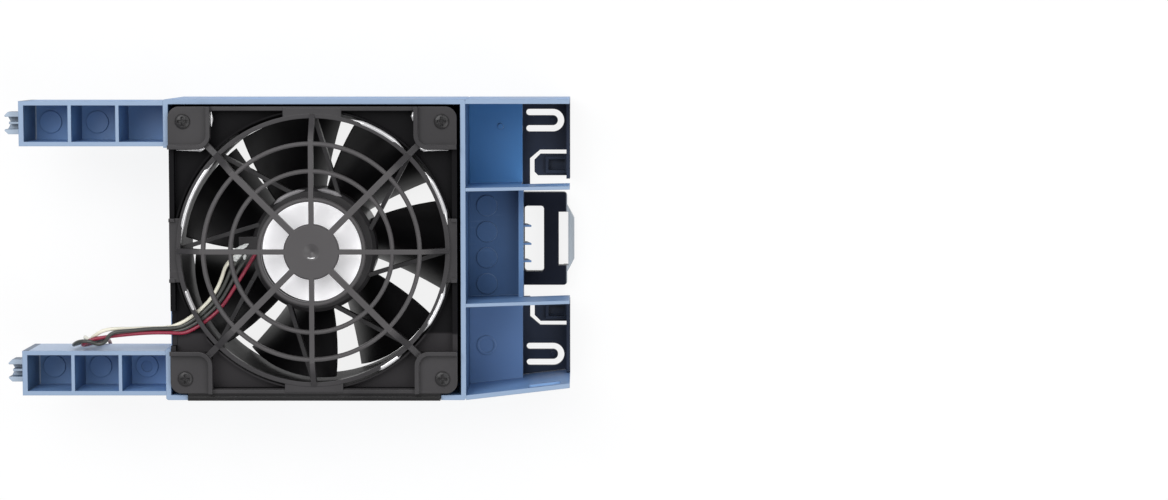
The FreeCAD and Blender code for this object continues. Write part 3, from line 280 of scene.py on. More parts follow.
def fill_level(graph: Graph, start: bpy.types.Node, end: bpy.types.Node) -> None:
    """How far up the object a point lies, and how much it faces up.

    Args:
        graph: Graph of the group.
        start: Its input node.
        end: Its output node.
    """
    rise = graph.add("ShaderNodeMapRange", interpolation_type="SMOOTHSTEP")
    graph.feed(rise, "0", graph.parts(graph.place())["Z"])
    graph.feed(rise, "1", start.outputs["Low"])
    graph.feed(rise, "2", start.outputs["High"])
    graph.feed(end, "Rise", rise.outputs[0])
    graph.feed(end, "Facing", graph.span(graph.facing()["Z"], *FACING_RANGE))


def fill_facing(graph: Graph, start: bpy.types.Node, end: bpy.types.Node) -> None:
    """Masks for faces that look to +X and, above a line, to +Y, and the distance to -X.

    Args:
        graph: Graph of the group.
        start: Its input node.
        end: Its output node.
    """
    place, facing = graph.parts(graph.place()), graph.facing()
    below = graph.math("MULTIPLY", place["Y"], -1.0)
    inside = graph.math("LESS_THAN", below, start.outputs["Limit"])
    back = graph.span(facing["Y"], *FACING_RANGE)
    graph.feed(end, "East", graph.span(facing["X"], *FACING_RANGE))
    graph.feed(end, "West", graph.math("MULTIPLY", place["X"], -1.0))
    graph.feed(end, "Back", graph.math("MULTIPLY", inside, back))


def fill_sides(graph: Graph, start: bpy.types.Node, end: bpy.types.Node) -> None:
    """Masks for what lies beyond a distance from the middle line, on either side.

    Args:
        graph: Graph of the group.
        start: Its input node.
        end: Its output node.
    """
    across = graph.parts(graph.place())["Y"]
    soft = 0.4 * MM
    for name, sign in (("Upper", 1.0), ("Lower", -1.0)):
        past = graph.math("SUBTRACT", graph.math("MULTIPLY", across, sign), start.outputs["Limit"])
        graph.feed(end, name, graph.span(past, -soft, soft))


def fill_scuffs(graph: Graph, start: bpy.types.Node, end: bpy.types.Node) -> None:
    """Sparse, thin scuffs from handling.

    Args:
        graph: Graph of the group.
        start: Its input node.
        end: Its output node.
    """
    place = graph.place()
    drawn = graph.add("ShaderNodeMapping", in_Scale=(60.0, 900.0, 200.0),
                      in_Rotation=(0.1, 0.2, 0.6), in_Vector=place)
    lines = graph.add("ShaderNodeTexNoise", in_Vector=drawn.outputs[0], in_Scale=1.0, in_Detail=2.0)
    spots = graph.add("ShaderNodeTexNoise", in_Vector=place, in_Scale=55.0, in_Detail=2.0)
    both = graph.math("MULTIPLY", graph.span(lines.outputs["Fac"], 0.6, 0.75),
                      graph.span(spots.outputs["Fac"], 0.5, 0.65))
    graph.feed(end, "Mask", graph.math("MULTIPLY", both, start.outputs["Amount"], clamp=True))


FLOAT, VECTOR = "NodeSocketFloat", "NodeSocketVector"
GRAIN = Effect("moulded_grain", (("Scale", FLOAT, 2500.0),),
               (("Height", FLOAT), ("Tone", FLOAT), ("Gloss", FLOAT)), fill_grain)
EDGES = Effect("soft_edges", (("Radius", FLOAT, 0.0003),), (("Mask", FLOAT), ("Normal", VECTOR)),
               fill_edges)
LEVEL = Effect("level_and_facing", (("Low", FLOAT, 0.0), ("High", FLOAT, 0.04)),
               (("Rise", FLOAT), ("Facing", FLOAT)), fill_level)
SIDES = Effect("sides_of_middle_line", (("Limit", FLOAT, 0.018),),
               (("Upper", FLOAT), ("Lower", FLOAT)), fill_sides)
FACING = Effect("upright_faces", (("Limit", FLOAT, 0.033),),
                (("East", FLOAT), ("Back", FLOAT), ("West", FLOAT)), fill_facing)
SCUFFS = Effect("handling_scuffs", (("Amount", FLOAT, 0.5),), (("Mask", FLOAT),), fill_scuffs)


# ---------------------------------------------------------------- finishes
def new_material(name: str) -> tuple[bpy.types.Material, Graph, bpy.types.Node]:
    """An empty material.

    Args:
        name: Name of the material.

    Returns:
        The material, its graph and its Principled node.
    """
    material = bpy.data.materials.new(name)
    material.use_nodes = True
    graph = Graph(material.node_tree)
    shader = material.node_tree.nodes["Principled BSDF"]
    return material, graph, shader


@dataclass(frozen=True)
class Moulded:
    """Moulded plastic with grain, softened edges and light scuffs."""

    name: str
    colour: Colour
    edge: Colour
    roughness: float = 0.45
    grain: float = 2600.0
    bump: float = 0.05
    edge_radius: float = 0.25 * MM
    edge_share: float = 0.5
    variation: float = 0.12
    scuff: float = 0.4
    specular: float = 0.3
    coat: float = 0.0

    def make(self) -> bpy.types.Material:
        """Build the material.

        Returns:
            The new material.
        """
        material, graph, shader = new_material(self.name)
        shader.inputs["Specular IOR Level"].default_value = self.specular
        grain = GRAIN.place(graph, Scale=self.grain)
        edges = EDGES.place(graph, Radius=self.edge_radius)
        scuffs = SCUFFS.place(graph, Amount=self.scuff)
        low = tuple(c * (1 - self.variation) for c in self.colour)
        high = tuple(c * (1 + self.variation) for c in self.colour)
        base = graph.blend(grain.outputs["Tone"], rgba(low), rgba(high))
        base = self.shade(graph, base)
        worn = graph.math("MULTIPLY", edges.outputs["Mask"], self.edge_share)
        base = graph.blend(worn, base, rgba(self.edge))
        rubbed = graph.math("MULTIPLY", scuffs.outputs["Mask"], 0.35)
        base = graph.blend(rubbed, base, rgba(self.edge))
        graph.feed(shader, "Base Color", base)
        rough = graph.span(grain.outputs["Gloss"], 0.0, 1.0, self.roughness - 0.06,
                           self.roughness + 0.06)
        dulled = graph.math("MULTIPLY", scuffs.outputs["Mask"], 0.12)
        graph.feed(shader, "Roughness", graph.math("ADD", rough, dulled))
        graph.relief(shader, grain.outputs["Height"], self.bump, 0.2 * MM,
                     in_Normal=edges.outputs["Normal"])
        shader.inputs["Coat Weight"].default_value = self.coat
        shader.inputs["Coat Roughness"].default_value = 0.08
        shader.inputs["Coat IOR"].default_value = 3.0
        return material

    def shade(self, graph: Graph, base: bpy.types.NodeSocket) -> bpy.types.NodeSocket:
        """Hook for painted light and shade that change with place; plain plastic has none."""
        return base


@dataclass(frozen=True)
class RimmedPlastic(Moulded):
    """Blue bracket plastic with a painted highlight along its rims and painted shade inside."""

    # Painted highlight on the rims' upward faces.
    rim: Colour = (0.25, 0.335, 0.47)
    rim_low: float = 39.2 * MM
    rim_high: float = 39.9 * MM
    # Painted shade: darker floors low down, tinted by side.
    floor: Colour = (0.013, 0.055, 0.15)
    upper_floor: Colour = (0.045, 0.175, 0.41)
    lower_floor: Colour = (0.105, 0.2, 0.4)
    floor_low: float = 9.0 * MM
    floor_high: float = 24.0 * MM
    side_limit: float = 18.0 * MM
    # Painted shade on walls that look to +X.
    east: Colour = (0.014, 0.05, 0.13)
    east_share: float = 0.7
    # Painted light on the pins' tops and painted shade on their sides.
    pin: Colour = (0.4, 0.48, 0.58)
    pin_side: Colour = (0.06, 0.11, 0.19)
    pin_limit: float = 83.6 * MM
    # Painted light on faces that look to +Y.
    back: Colour = (0.4, 0.5, 0.66)
    # Beyond this distance from the middle line there is no painted floor shade.
    outer_limit: float = 47.2 * MM
    back_limit: float = 0.0

    def shade(self, graph: Graph, base: bpy.types.NodeSocket) -> bpy.types.NodeSocket:
        """Painted shade low down and on walls that look to +X; painted light on +Y faces, the pins'
        tops and the rims' upward faces.

        Args:
            graph: Graph of the material.
            base: Colour so far.

        Returns:
            The changed colour's socket.
        """
        # Painted shade low down.
        deep_shade = LEVEL.place(graph, Low=self.floor_low, High=self.floor_high)
        top = LEVEL.place(graph, Low=self.rim_low, High=self.rim_high)
        sides = SIDES.place(graph, Limit=self.side_limit)
        floor = graph.blend(sides.outputs["Upper"], rgba(self.floor), rgba(self.upper_floor))
        floor = graph.blend(sides.outputs["Lower"], floor, rgba(self.lower_floor))
        outer = SIDES.place(graph, Limit=self.outer_limit)
        high = graph.math("MAXIMUM", outer.outputs["Upper"], outer.outputs["Lower"])
        base = graph.blend(graph.math("MAXIMUM", deep_shade.outputs["Rise"], high), floor, base)
        # Painted shade on walls that look to +X, painted light on +Y faces.
        facing = FACING.place(graph, Limit=self.back_limit)
        east = graph.math("MULTIPLY", facing.outputs["East"], self.east_share)
        base = graph.blend(east, base, rgba(self.east))
        if self.back_limit:
            base = graph.blend(facing.outputs["Back"], base, rgba(self.back))
        # Painted light on the pins' tops, painted shade on their sides.
        pin = graph.blend(top.outputs["Facing"], rgba(self.pin_side), rgba(self.pin))
        far = graph.math("GREATER_THAN", facing.outputs["West"], self.pin_limit)
        base = graph.blend(far, base, pin)
        # Painted highlight on the rims' upward faces.
        rim = graph.math("MULTIPLY", top.outputs["Rise"], top.outputs["Facing"])
        return graph.blend(rim, base, rgba(self.rim))


@dataclass(frozen=True)
class RaisedPlastic(Moulded):
    """Black plastic with painted light where it stands higher and painted shade on the skirt."""

    # Painted light on the higher web.
    high: Colour = (0.07, 0.066, 0.068)
    high_from: float = 44.5 * MM
    high_to: float = 47.3 * MM
    # Painted shade on the skirt.
    front: Colour = (0.006, 0.0056, 0.006)
    front_limit: float = 46.1 * MM

    def shade(self, graph: Graph, base: bpy.types.NodeSocket) -> bpy.types.NodeSocket:
        """Painted light up on the web, painted shade on the skirt.

        Args:
            graph: Graph of the material.
            base: Colour so far.

        Returns:
            The changed colour's socket.
        """
        level = LEVEL.place(graph, Low=self.high_from, High=self.high_to)
        base = graph.blend(level.outputs["Rise"], base, rgba(self.high))
        sides = SIDES.place(graph, Limit=self.front_limit)
        return graph.blend(sides.outputs["Lower"], base, rgba(self.front))


@dataclass(frozen=True)
class FramePlastic(Moulded):
    """Black plastic with painted light on the upward faces near its front edge."""

    # Painted light on upward faces near the front edge.
    web: Colour = (0.03, 0.028, 0.03)
    web_limit: float = 27.0 * MM

    def shade(self, graph: Graph, base: bpy.types.NodeSocket) -> bpy.types.NodeSocket:
        """Painted light: greyer on the faces that look up near the front edge.

        Args:
            graph: Graph of the material.
            base: Colour so far.

        Returns:
            The changed colour's socket.
        """
        level = LEVEL.place(graph)
        sides = SIDES.place(graph, Limit=self.web_limit)
        share = graph.math("MULTIPLY", level.outputs["Facing"], sides.outputs["Lower"])
        return graph.blend(share, base, rgba(self.web))


@dataclass(frozen=True)
class GripPlastic(Moulded):
    """Black plastic with a painted reflection that makes its outermost bar pale."""

    # Painted reflection on the outermost bar.
    worn: Colour = (0.33, 0.365, 0.4)
    worn_from: float = 89.0 * MM

    def shade(self, graph: Graph, base: bpy.types.NodeSocket) -> bpy.types.NodeSocket:
        """Painted reflection: pale beyond a place along the handle.

        Args:
            graph: Graph of the material.
            base: Colour so far.

        Returns:
            The changed colour's socket.
        """
        along = graph.parts(graph.place())["X"]
        outer = graph.span(along, self.worn_from - 0.3 * MM, self.worn_from + 0.3 * MM)
        return graph.blend(outer, base, rgba(self.worn))


@dataclass(frozen=True)
class Metal:
    """Bare metal with a drawn or turned grain."""

    name: str
    colour: Colour
    roughness: float = 0.3
    stretch: Point = (200.0, 200.0, 4000.0)

    def make(self) -> bpy.types.Material:
        """Build the material.

        Returns:
            The new material.
        """
        material, graph, shader = new_material(self.name)
        drawn = graph.add("ShaderNodeMapping", in_Scale=self.stretch, in_Vector=graph.place())
        lines = graph.add("ShaderNodeTexNoise", in_Vector=drawn.outputs[0], in_Scale=1.0,
                          in_Detail=4.0)
        edges = EDGES.place(graph, Radius=0.15 * MM)
        dull = tuple(c * 0.75 for c in self.colour)
        base = graph.blend(lines.outputs["Fac"], rgba(dull), rgba(self.colour))
        graph.feed(shader, "Base Color", base)
        shader.inputs["Metallic"].default_value = 1.0
        graph.feed(shader, "Roughness", graph.span(lines.outputs["Fac"], 0.3, 0.7,
                                                   self.roughness - 0.08, self.roughness + 0.1))
        graph.relief(shader, lines.outputs["Fac"], 0.15, 0.1 * MM,
                     in_Normal=edges.outputs["Normal"])
        return material


@dataclass(frozen=True)
class Laminated:
    """Stacked sheets or wound wire: even bands across the piece."""

    name: str
    colour: Colour
    dark: Colour
    pitch: float
    metallic: float
    roughness: float = 0.4
    bump: float = 0.5

    def make(self) -> bpy.types.Material:
        """Build the material.

        Returns:
            The new material.
        """
        material, graph, shader = new_material(self.name)
        bands = graph.add("ShaderNodeTexWave", wave_type="BANDS", bands_direction="Z",
                          in_Vector=graph.place(), in_Scale=0.31 / self.pitch,
                          in_Distortion=0.6, in_Detail=2.0)
        base = graph.blend(bands.outputs["Fac"], rgba(self.dark), rgba(self.colour))
        graph.feed(shader, "Base Color", base)
        shader.inputs["Metallic"].default_value = self.metallic
        graph.feed(shader, "Roughness", graph.span(bands.outputs["Fac"], 0.0, 1.0,
                                                   self.roughness + 0.15, self.roughness))
        graph.relief(shader, bands.outputs["Fac"], self.bump, self.pitch)
        return material


@dataclass(frozen=True)
class Grained:
    """Even material with a fine grain, that drifts between two tones."""

    name: str
    first: Colour
    second: Colour
    scale: float
    rough: tuple[float, float]
    bump: float
    bump_height: float
    # Emission of the base colour; on the label it is painted light.
    glow: float = 0.0
    clearness: float = 0.0

    def make(self) -> bpy.types.Material:
        """Build the material.

        Returns:
            The new material.
        """
        material, graph, shader = new_material(self.name)
        grain = GRAIN.place(graph, Scale=self.scale)
        base = graph.blend(grain.outputs["Tone"], rgba(self.first), rgba(self.second))
        graph.feed(shader, "Base Color", base)
        graph.feed(shader, "Roughness", graph.span(grain.outputs["Gloss"], 0.0, 1.0, *self.rough))
        shader.inputs["Transmission Weight"].default_value = self.clearness
        if self.glow:
            graph.feed(shader, "Emission Color", base)
            shader.inputs["Emission Strength"].default_value = self.glow
        graph.relief(shader, grain.outputs["Height"], self.bump, self.bump_height)
        return material


# The label's glow is painted light: it emits a little of its own colour.
LABEL_FILM = Grained("label_white", (0.97, 0.96, 0.98), (0.94, 0.93, 0.94), 900.0, (0.38, 0.52),
                     0.04, 0.2 * MM, glow=0.17)
INSULATION = Grained("insulation", (0.4, 0.4, 0.4), (0.5, 0.5, 0.5), 1500.0, (0.3, 0.44),
                     0.08, 0.1 * MM)
GLUE = Grained("cloudy_glue", (0.8, 0.83, 0.81), (0.95, 0.96, 0.95), 1800.0, (0.12, 0.3),
               0.5, 0.4 * MM, clearness=0.15)


@dataclass(frozen=True)
class PaleFloor:
    """White studio floor that keeps a faint shadow."""

    name: str = "studio_floor"
    colour: Colour = (0.9, 0.9, 0.9)
    patches: Colour = (0.86, 0.86, 0.87)
    own_light: float = 0.86

    def make(self) -> bpy.types.Material:
        """Build the material.

        Returns:
            The new material.
        """
        material, graph, shader = new_material(self.name)
        grain = GRAIN.place(graph, Scale=120.0)
        base = graph.blend(grain.outputs["Tone"], rgba(self.patches), rgba(self.colour))
        graph.feed(shader, "Base Color", base)
        shader.inputs["Roughness"].default_value = 0.9
        glow = graph.add("ShaderNodeEmission", in_Color=rgba((1.0, 1.0, 1.0)))
        glow.inputs["Strength"].default_value = 1.0
        path = graph.add("ShaderNodeLightPath")
        seen = graph.math("MAXIMUM", path.outputs["Is Camera Ray"], path.outputs["Is Glossy Ray"])
        seen = graph.math("MAXIMUM", seen, path.outputs["Is Transmission Ray"])
        mix = graph.add("ShaderNodeMixShader", in_0=graph.math("MULTIPLY", seen, self.own_light))
        graph.feed(mix, "1", shader.outputs[0])
        graph.feed(mix, "2", glow.outputs[0])
        out = material.node_tree.nodes["Material Output"]
        graph.feed(out, "Surface", mix.outputs[0])
        return material


# ---------------------------------------------------------------- pieces
def dress(node: str, material: bpy.types.Material) -> None:
    """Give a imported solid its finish.

    Args:
        node: Name of the solid's node.
        material: Finish.
    """
    log.info("dressed %s", node)
    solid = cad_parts[node]
    solid.data.materials.clear()
    solid.data.materials.append(material)


def add_piece(name: str, data: bpy.types.ID, body: Body) -> bpy.types.Object:
    """Put a piece in the scene and let it ride on a body.

    Args:
        name: Name of the piece.
        data: Its mesh or curve.
        body: Body that carries it.

    Returns:
        The new object.
    """
    piece = bpy.data.objects.new(name, data)
    bpy.context.scene.collection.objects.link(piece)
    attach(piece, body.value)
    log.info("made %s", name)
    return piece


def new_curve(name: str, points: Sequence[Point], radius: float, kind: str,
              material: bpy.types.Material) -> tuple[bpy.types.Curve, bpy.types.Spline]:
    """A round curve through or along points.

    Args:
        name: Name of the curve.
        points: Its points.
        radius: Radius of its section.
        kind: Type of the spline.
        material: Finish.

    Returns:
        The curve and its spline.
    """
    curve = bpy.data.curves.new(name, "CURVE")
    curve.dimensions = "3D"
    curve.bevel_depth = radius
    curve.bevel_resolution = 4
    spline = curve.splines.new(kind)
    spline.points.add(len(points) - 1)
    for target, point in zip(spline.points, points):
        target.co = (*point, 1.0)
    curve.materials.append(material)
    return curve, spline


def add_mesh(name: str, build: Callable[[bmesh.types.BMesh], None], material: bpy.types.Material,
             body: Body, smooth: bool = True) -> bpy.types.Object:
    """Make a mesh piece and let it ride on a body.

    Args:
        name: Name of the piece.
        build: Fills the mesh.
        material: Finish.
        body: Body that carries it.
        smooth: Shade it smooth.

    Returns:
        The new object.
    """
    mesh = bpy.data.meshes.new(name)
    work = bmesh.new()
    build(work)
    bmesh.ops.recalc_face_normals(work, faces=work.faces)
    work.to_mesh(mesh)
    work.free()
    for polygon in mesh.polygons:
        polygon.use_smooth = smooth
    mesh.materials.append(material)
    return add_piece(name, mesh, body)


def add_line(name: str, points: Sequence[Point], radius: float, material: bpy.types.Material,
             body: Body) -> bpy.types.Object:
    """Make a thin rounded bead along a line and let it ride on a body.

    Args:
        name: Name of the piece.
        points: Points of its middle line.
        radius: Radius of the bead, which thins out at its ends.
        material: Finish.
        body: Body that carries it.

    Returns:
        The new object.
    """
    curve, spline = new_curve(name, points, radius, "POLY", material)
    curve.use_fill_caps = True
    for index, target in enumerate(spline.points):
        to_end = min(index, len(points) - 1 - index)
        target.radius = min(1.0, 0.1 + 0.18 * to_end)
    return add_piece(name, curve, body)


def add_arc(name: str, span: tuple[float, float], radius: float, level: float, bead: float,
            material: bpy.types.Material) -> None:
    """Make a bead along an arc about the fan axis, on the carrier.

    Args:
        name: Name of the piece.
        span: First and last angle in degrees.
        radius: Radius of the arc.
        level: Height of the arc.
        bead: Radius of the bead.
        material: Finish.
    """
    first, last = span
    steps = 24
    turns = [math.radians(first + (last - first) * k / steps) for k in range(steps + 1)]
    points = [(FAN_X + radius * math.cos(a), radius * math.sin(a), level) for a in turns]
    add_line(name, points, bead, material, Body.CARRIER)


@dataclass
class Lead:
    """Four wires from the motor to the connector, and the connector.

    The wires leave the motor side by side, run as one bundle about a trunk line to the
    bay wall, part over the lower arm and drop beside it. Places are in millimetres from
    the fan axis, heights from the back.
    """

    diameter: float = 1.2 * MM
    exit_y: float = -0.5
    level: float = 38.3
    trunk: tuple[tuple[float, float, float], ...] = (
        (-24.9, -4.8, 3.4), (-28.0, -11.6, 2.35), (-31.5, -17.3, 2.2), (-36.5, -21.8, 2.0),
        (-40.4, -24.3, 1.85), (-43.0, -25.4, 1.7))
    names: tuple[str, ...] = ("lead_white", "lead_yellow", "lead_black", "lead_red")
    exit_x: tuple[float, ...] = (-22.85, -21.35, -19.85, -18.35)
    colours: tuple[Colour, ...] = (
        (0.83, 0.8, 0.67), (0.05, 0.053, 0.047), (0.042, 0.043, 0.04), (0.27, 0.017, 0.045))
    dull: float = 0.82
    lengths: tuple[float, ...] = (0.096, 0.104, 0.0952, 0.1034)
    lumps: tuple[tuple[float, float, float, float, float], ...] = (
        (-23.0, 0.9, 2.3, 0.75, 27.0), (-24.7, -2.3, 1.6, 1.0, 50.0), (-22.2, -2.2, 1.0, 0.5, 80.0))
    ends: tuple[tuple[Point, ...], ...] = (
        ((-47.0, -25.2, 37.8), (-53.0, -25.1, 39.2), (-59.2, -25.2, 40.4), (-62.6, -25.1, 41.2),
         (-65.6, -25.2, 41.7), (-68.3, -26.0, 41.6), (-70.9, -27.8, 40.2), (-72.8, -29.4, 36.5),
         (-75.6, -29.3, 28.0), (-77.75, -30.4, 18.2)),
        ((-46.6, -25.2, 39.05), (-53.0, -25.2, 40.6), (-58.2, -25.6, 41.9), (-63.2, -25.9, 42.6),
         (-65.5, -27.1, 42.6), (-66.6, -29.4, 42.3), (-69.0, -30.2, 42.2), (-71.6, -28.9, 42.6),
         (-75.4, -29.1, 41.8), (-77.9, -30.8, 38.5), (-77.6, -31.0, 31.0), (-75.25, -31.0, 18.2)),
        ((-47.0, -26.5, 37.8), (-53.0, -26.3, 38.9), (-59.0, -26.5, 39.6), (-64.5, -27.4, 40.2),
         (-68.5, -28.9, 39.6), (-71.2, -29.7, 36.5), (-72.6, -29.6, 29.0), (-72.75, -30.6, 18.2)),
        ((-47.0, -26.6, 39.05), (-53.0, -26.5, 40.4), (-59.0, -26.9, 41.0), (-65.6, -27.6, 41.2),
         (-71.2, -28.5, 41.3), (-74.2, -30.1, 40.6), (-74.8, -31.0, 36.5), (-72.6, -31.0, 29.0),
         (-70.4, -31.0, 23.0), (-70.25, -31.0, 18.2)))

    plug_in: tuple[tuple[float, float], ...] = ((-32.2, 13.9), (-34.9, 11.0), (-38.4, 11.0))

    def route(self, lane: int) -> list[Point]:
        """Line of one wire.

        Args:
            lane: Its place in the bundle, from the outer side inwards.

        Returns:
            Points in millimetres from the fan axis.
        """
        share = 1.0 - 2.0 * lane / (len(self.names) - 1)
        last_x = self.ends[lane][-1][0]
        points = [(self.exit_x[lane], self.exit_y, self.level)]
        line = [(self.exit_x[lane], self.exit_y)] + [(x, y) for x, y, _ in self.trunk]
        following = line[2:] + [self.ends[lane][0][:2]]
        for before, (x, y, spread), after in zip(line, self.trunk, following):
            dx, dy = after[0] - before[0], after[1] - before[1]
            aside = spread * share / math.hypot(dx, dy)
            points.append((x + dy * aside, y - dx * aside, self.level))
        points += self.ends[lane]
        return points + [(last_x, y, z) for y, z in self.plug_in]

    def wire(self, lane: int) -> None:
        """Make one wire.

        Args:
            lane: Its place in the bundle.
        """
        name = self.names[lane]
        points = [(x * MM + FAN_X, y * MM, z * MM) for x, y, z in self.route(lane)]
        colour = self.colours[lane]
        finish = replace(INSULATION, name=name + "_insulation", second=colour,
                         first=tuple(c * self.dull for c in colour)).make()
        curve, spline = new_curve(name + "_wire", points, self.diameter / 2, "NURBS", finish)
        curve.resolution_u = 10
        spline.order_u = 3
        spline.use_endpoint_u = True
        piece = add_piece(name + "_wire", curve, Body.CARRIER)
        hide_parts(name)

    def lump(self, work: bmesh.types.BMesh, x: float, y: float, long: float, wide: float,
             turn: float) -> None:
        """Add one lump of glue to a mesh.

        Args:
            work: Mesh that is being built.
            x: Centre along X, in millimetres from the fan axis.
            y: Centre along Y.
            long: Half length.
            wide: Half width; the height follows it.
            turn: Turn about Z, in degrees.
        """
        made = bmesh.ops.create_icosphere(work, subdivisions=4, radius=1.0)
        turned = Matrix.Rotation(math.radians(turn), 3, "Z")
        for vert in made["verts"]:
            swell = 1.0 + 0.35 * noise.noise(vert.co * 1.7 + Vector((x, y, 0.0)))
            local = Vector((vert.co.x * long, vert.co.y * wide, vert.co.z * min(wide, 0.9)))
            place = turned @ (local * swell) + Vector((x, y, self.level + 0.4))
            vert.co = place * MM + Vector((FAN_X, 0.0, 0.0))

    def glue(self, work: bmesh.types.BMesh) -> None:
        """Fill a mesh with the glue that holds the wires at the motor."""
        for lump in self.lumps:
            self.lump(work, *lump)

    def build(self) -> None:
        """Make the wires and their glue, and dress the connector."""
        for lane in range(len(self.names)):
            self.wire(lane)
        add_mesh("wire_exit_glue", self.glue, GLUE.make(), Body.CARRIER)
        dress("connector_housing", Moulded("connector_nylon", (0.7, 0.69, 0.64), (0.8, 0.79, 0.75),
                                           roughness=0.4).make())
        dress("connector_contacts", Metal("tinned_contacts", (0.72, 0.7, 0.64)).make())


@dataclass
class Bracket:
    """Blue moulding: bay, two arms and the handle section."""

    nodes: tuple[str, ...] = ("carrier_bracket", "upper_arm")

    def build(self) -> None:
        """Dress the bracket's nodes."""
        plastic = RimmedPlastic("bracket_blue", (0.175, 0.31, 0.55), (0.22, 0.3, 0.45),
                                roughness=0.42, edge_radius=0.3 * MM, edge_share=0.7)
        made = plastic.make()
        for node in self.nodes:
            dress(node, made)
        # Painted light on the lower arm's +Y faces.
        lit_back = replace(plastic, name="bracket_blue_lit_back", back_limit=33.0 * MM)
        dress("lower_arm", lit_back.make())
        # Painted shade that reaches higher in the handle section.
        deep_shade = replace(plastic, name="bracket_blue_deep_shade", floor_high=34.0 * MM)
        dress("handle_section", deep_shade.make())


@dataclass
class Latch:
    """End plate, squeeze handle and its spring."""

    def build(self) -> None:
        """Dress the latch's nodes."""
        dress("end_plate", Moulded("plate_black", (0.008, 0.0155, 0.036), (0.028, 0.038, 0.062),
                                   roughness=0.38, specular=0.25).make())
        dress("latch_handle", GripPlastic("handle_black", (0.002, 0.0038, 0.0105),
                                          (0.028, 0.032, 0.042), roughness=0.34,
                                          specular=0.12).make())
        dress("return_spring", Metal("drawn_spring_wire", (0.6, 0.6, 0.6)).make())


@dataclass
class Fan:
    """Fan frame, motor, label and impeller."""

    # Painted highlights: grey beads along arcs of the motor base's shoulder.
    base_arcs: tuple[tuple[float, float], ...] = ((98.0, 131.0), (62.0, 86.0))
    base_arc_radius: float = 19.4 * MM
    base_level: float = 38.75 * MM
    base_bead: float = 0.7 * MM

    def shoulder(self) -> None:
        """Make grey beads on the motor base's shoulder that are painted highlights."""
        shoulder_highlight = Moulded("shoulder_painted_highlight", (0.3, 0.29, 0.3), (0.33, 0.32, 0.33), roughness=0.3,
                       bump=0.0).make()
        for number, span in enumerate(self.base_arcs):
            add_arc(f"base_highlight_{number}", span, self.base_arc_radius, self.base_level,
                    self.base_bead, shoulder_highlight)

    def build(self) -> None:
        """Dress the fan's nodes."""
        dress("fan_frame", FramePlastic("frame_black", (0.0045, 0.0042, 0.005),
                                        (0.02, 0.019, 0.021), roughness=0.5, specular=0.08).make())
        dress("motor_mount", Moulded("mount_black", (0.026, 0.0245, 0.026), (0.07, 0.067, 0.07),
                                     roughness=0.4).make())
        dress("motor_label", LABEL_FILM.make())
        self.shoulder()
        dress("impeller", Moulded("impeller_black", (0.004, 0.0037, 0.0042),
                                  (0.012, 0.0115, 0.0125), roughness=0.36, specular=0.15).make())
        steel = Metal("drawn_cup_steel", (0.5, 0.5, 0.5)).make()
        bright = Metal("ground_bearing_steel", (0.7, 0.7, 0.71), roughness=0.18).make()
        for node, finish in (
                ("rotor_cup", steel), ("rotor_shaft", bright), ("retaining_clip", steel),
                ("preload_washer", steel), ("bearing_outer_rings", bright),
                ("bearing_inner_rings", bright), ("bearing_balls", bright)):
            dress(node, finish)
        dress("bearing_tube", Metal("turned_brass", (0.72, 0.53, 0.24)).make())
        dress("magnet_ring", Moulded("bonded_ferrite", (0.03, 0.03, 0.032), (0.06, 0.06, 0.06),
                                     roughness=0.7).make())
        dress("stator_core", Laminated("stacked_core", (0.36, 0.36, 0.37), (0.12, 0.12, 0.12),
                                       0.5 * MM, 1.0).make())
        dress("stator_insulator", Moulded("insulator_nylon", (0.7, 0.68, 0.6),
                                          (0.8, 0.78, 0.7)).make())
        dress("stator_windings", Laminated("enamelled_copper", (0.62, 0.27, 0.12),
                                           (0.2, 0.07, 0.03), 0.25 * MM, 0.9,
                                           roughness=0.3).make())
        dress("circuit_board", Moulded("board_green", (0.03, 0.19, 0.07), (0.5, 0.45, 0.25),
                                       roughness=0.3).make())
        dress("board_components", Moulded("component_black", (0.02, 0.02, 0.02),
                                          (0.05, 0.05, 0.05)).make())


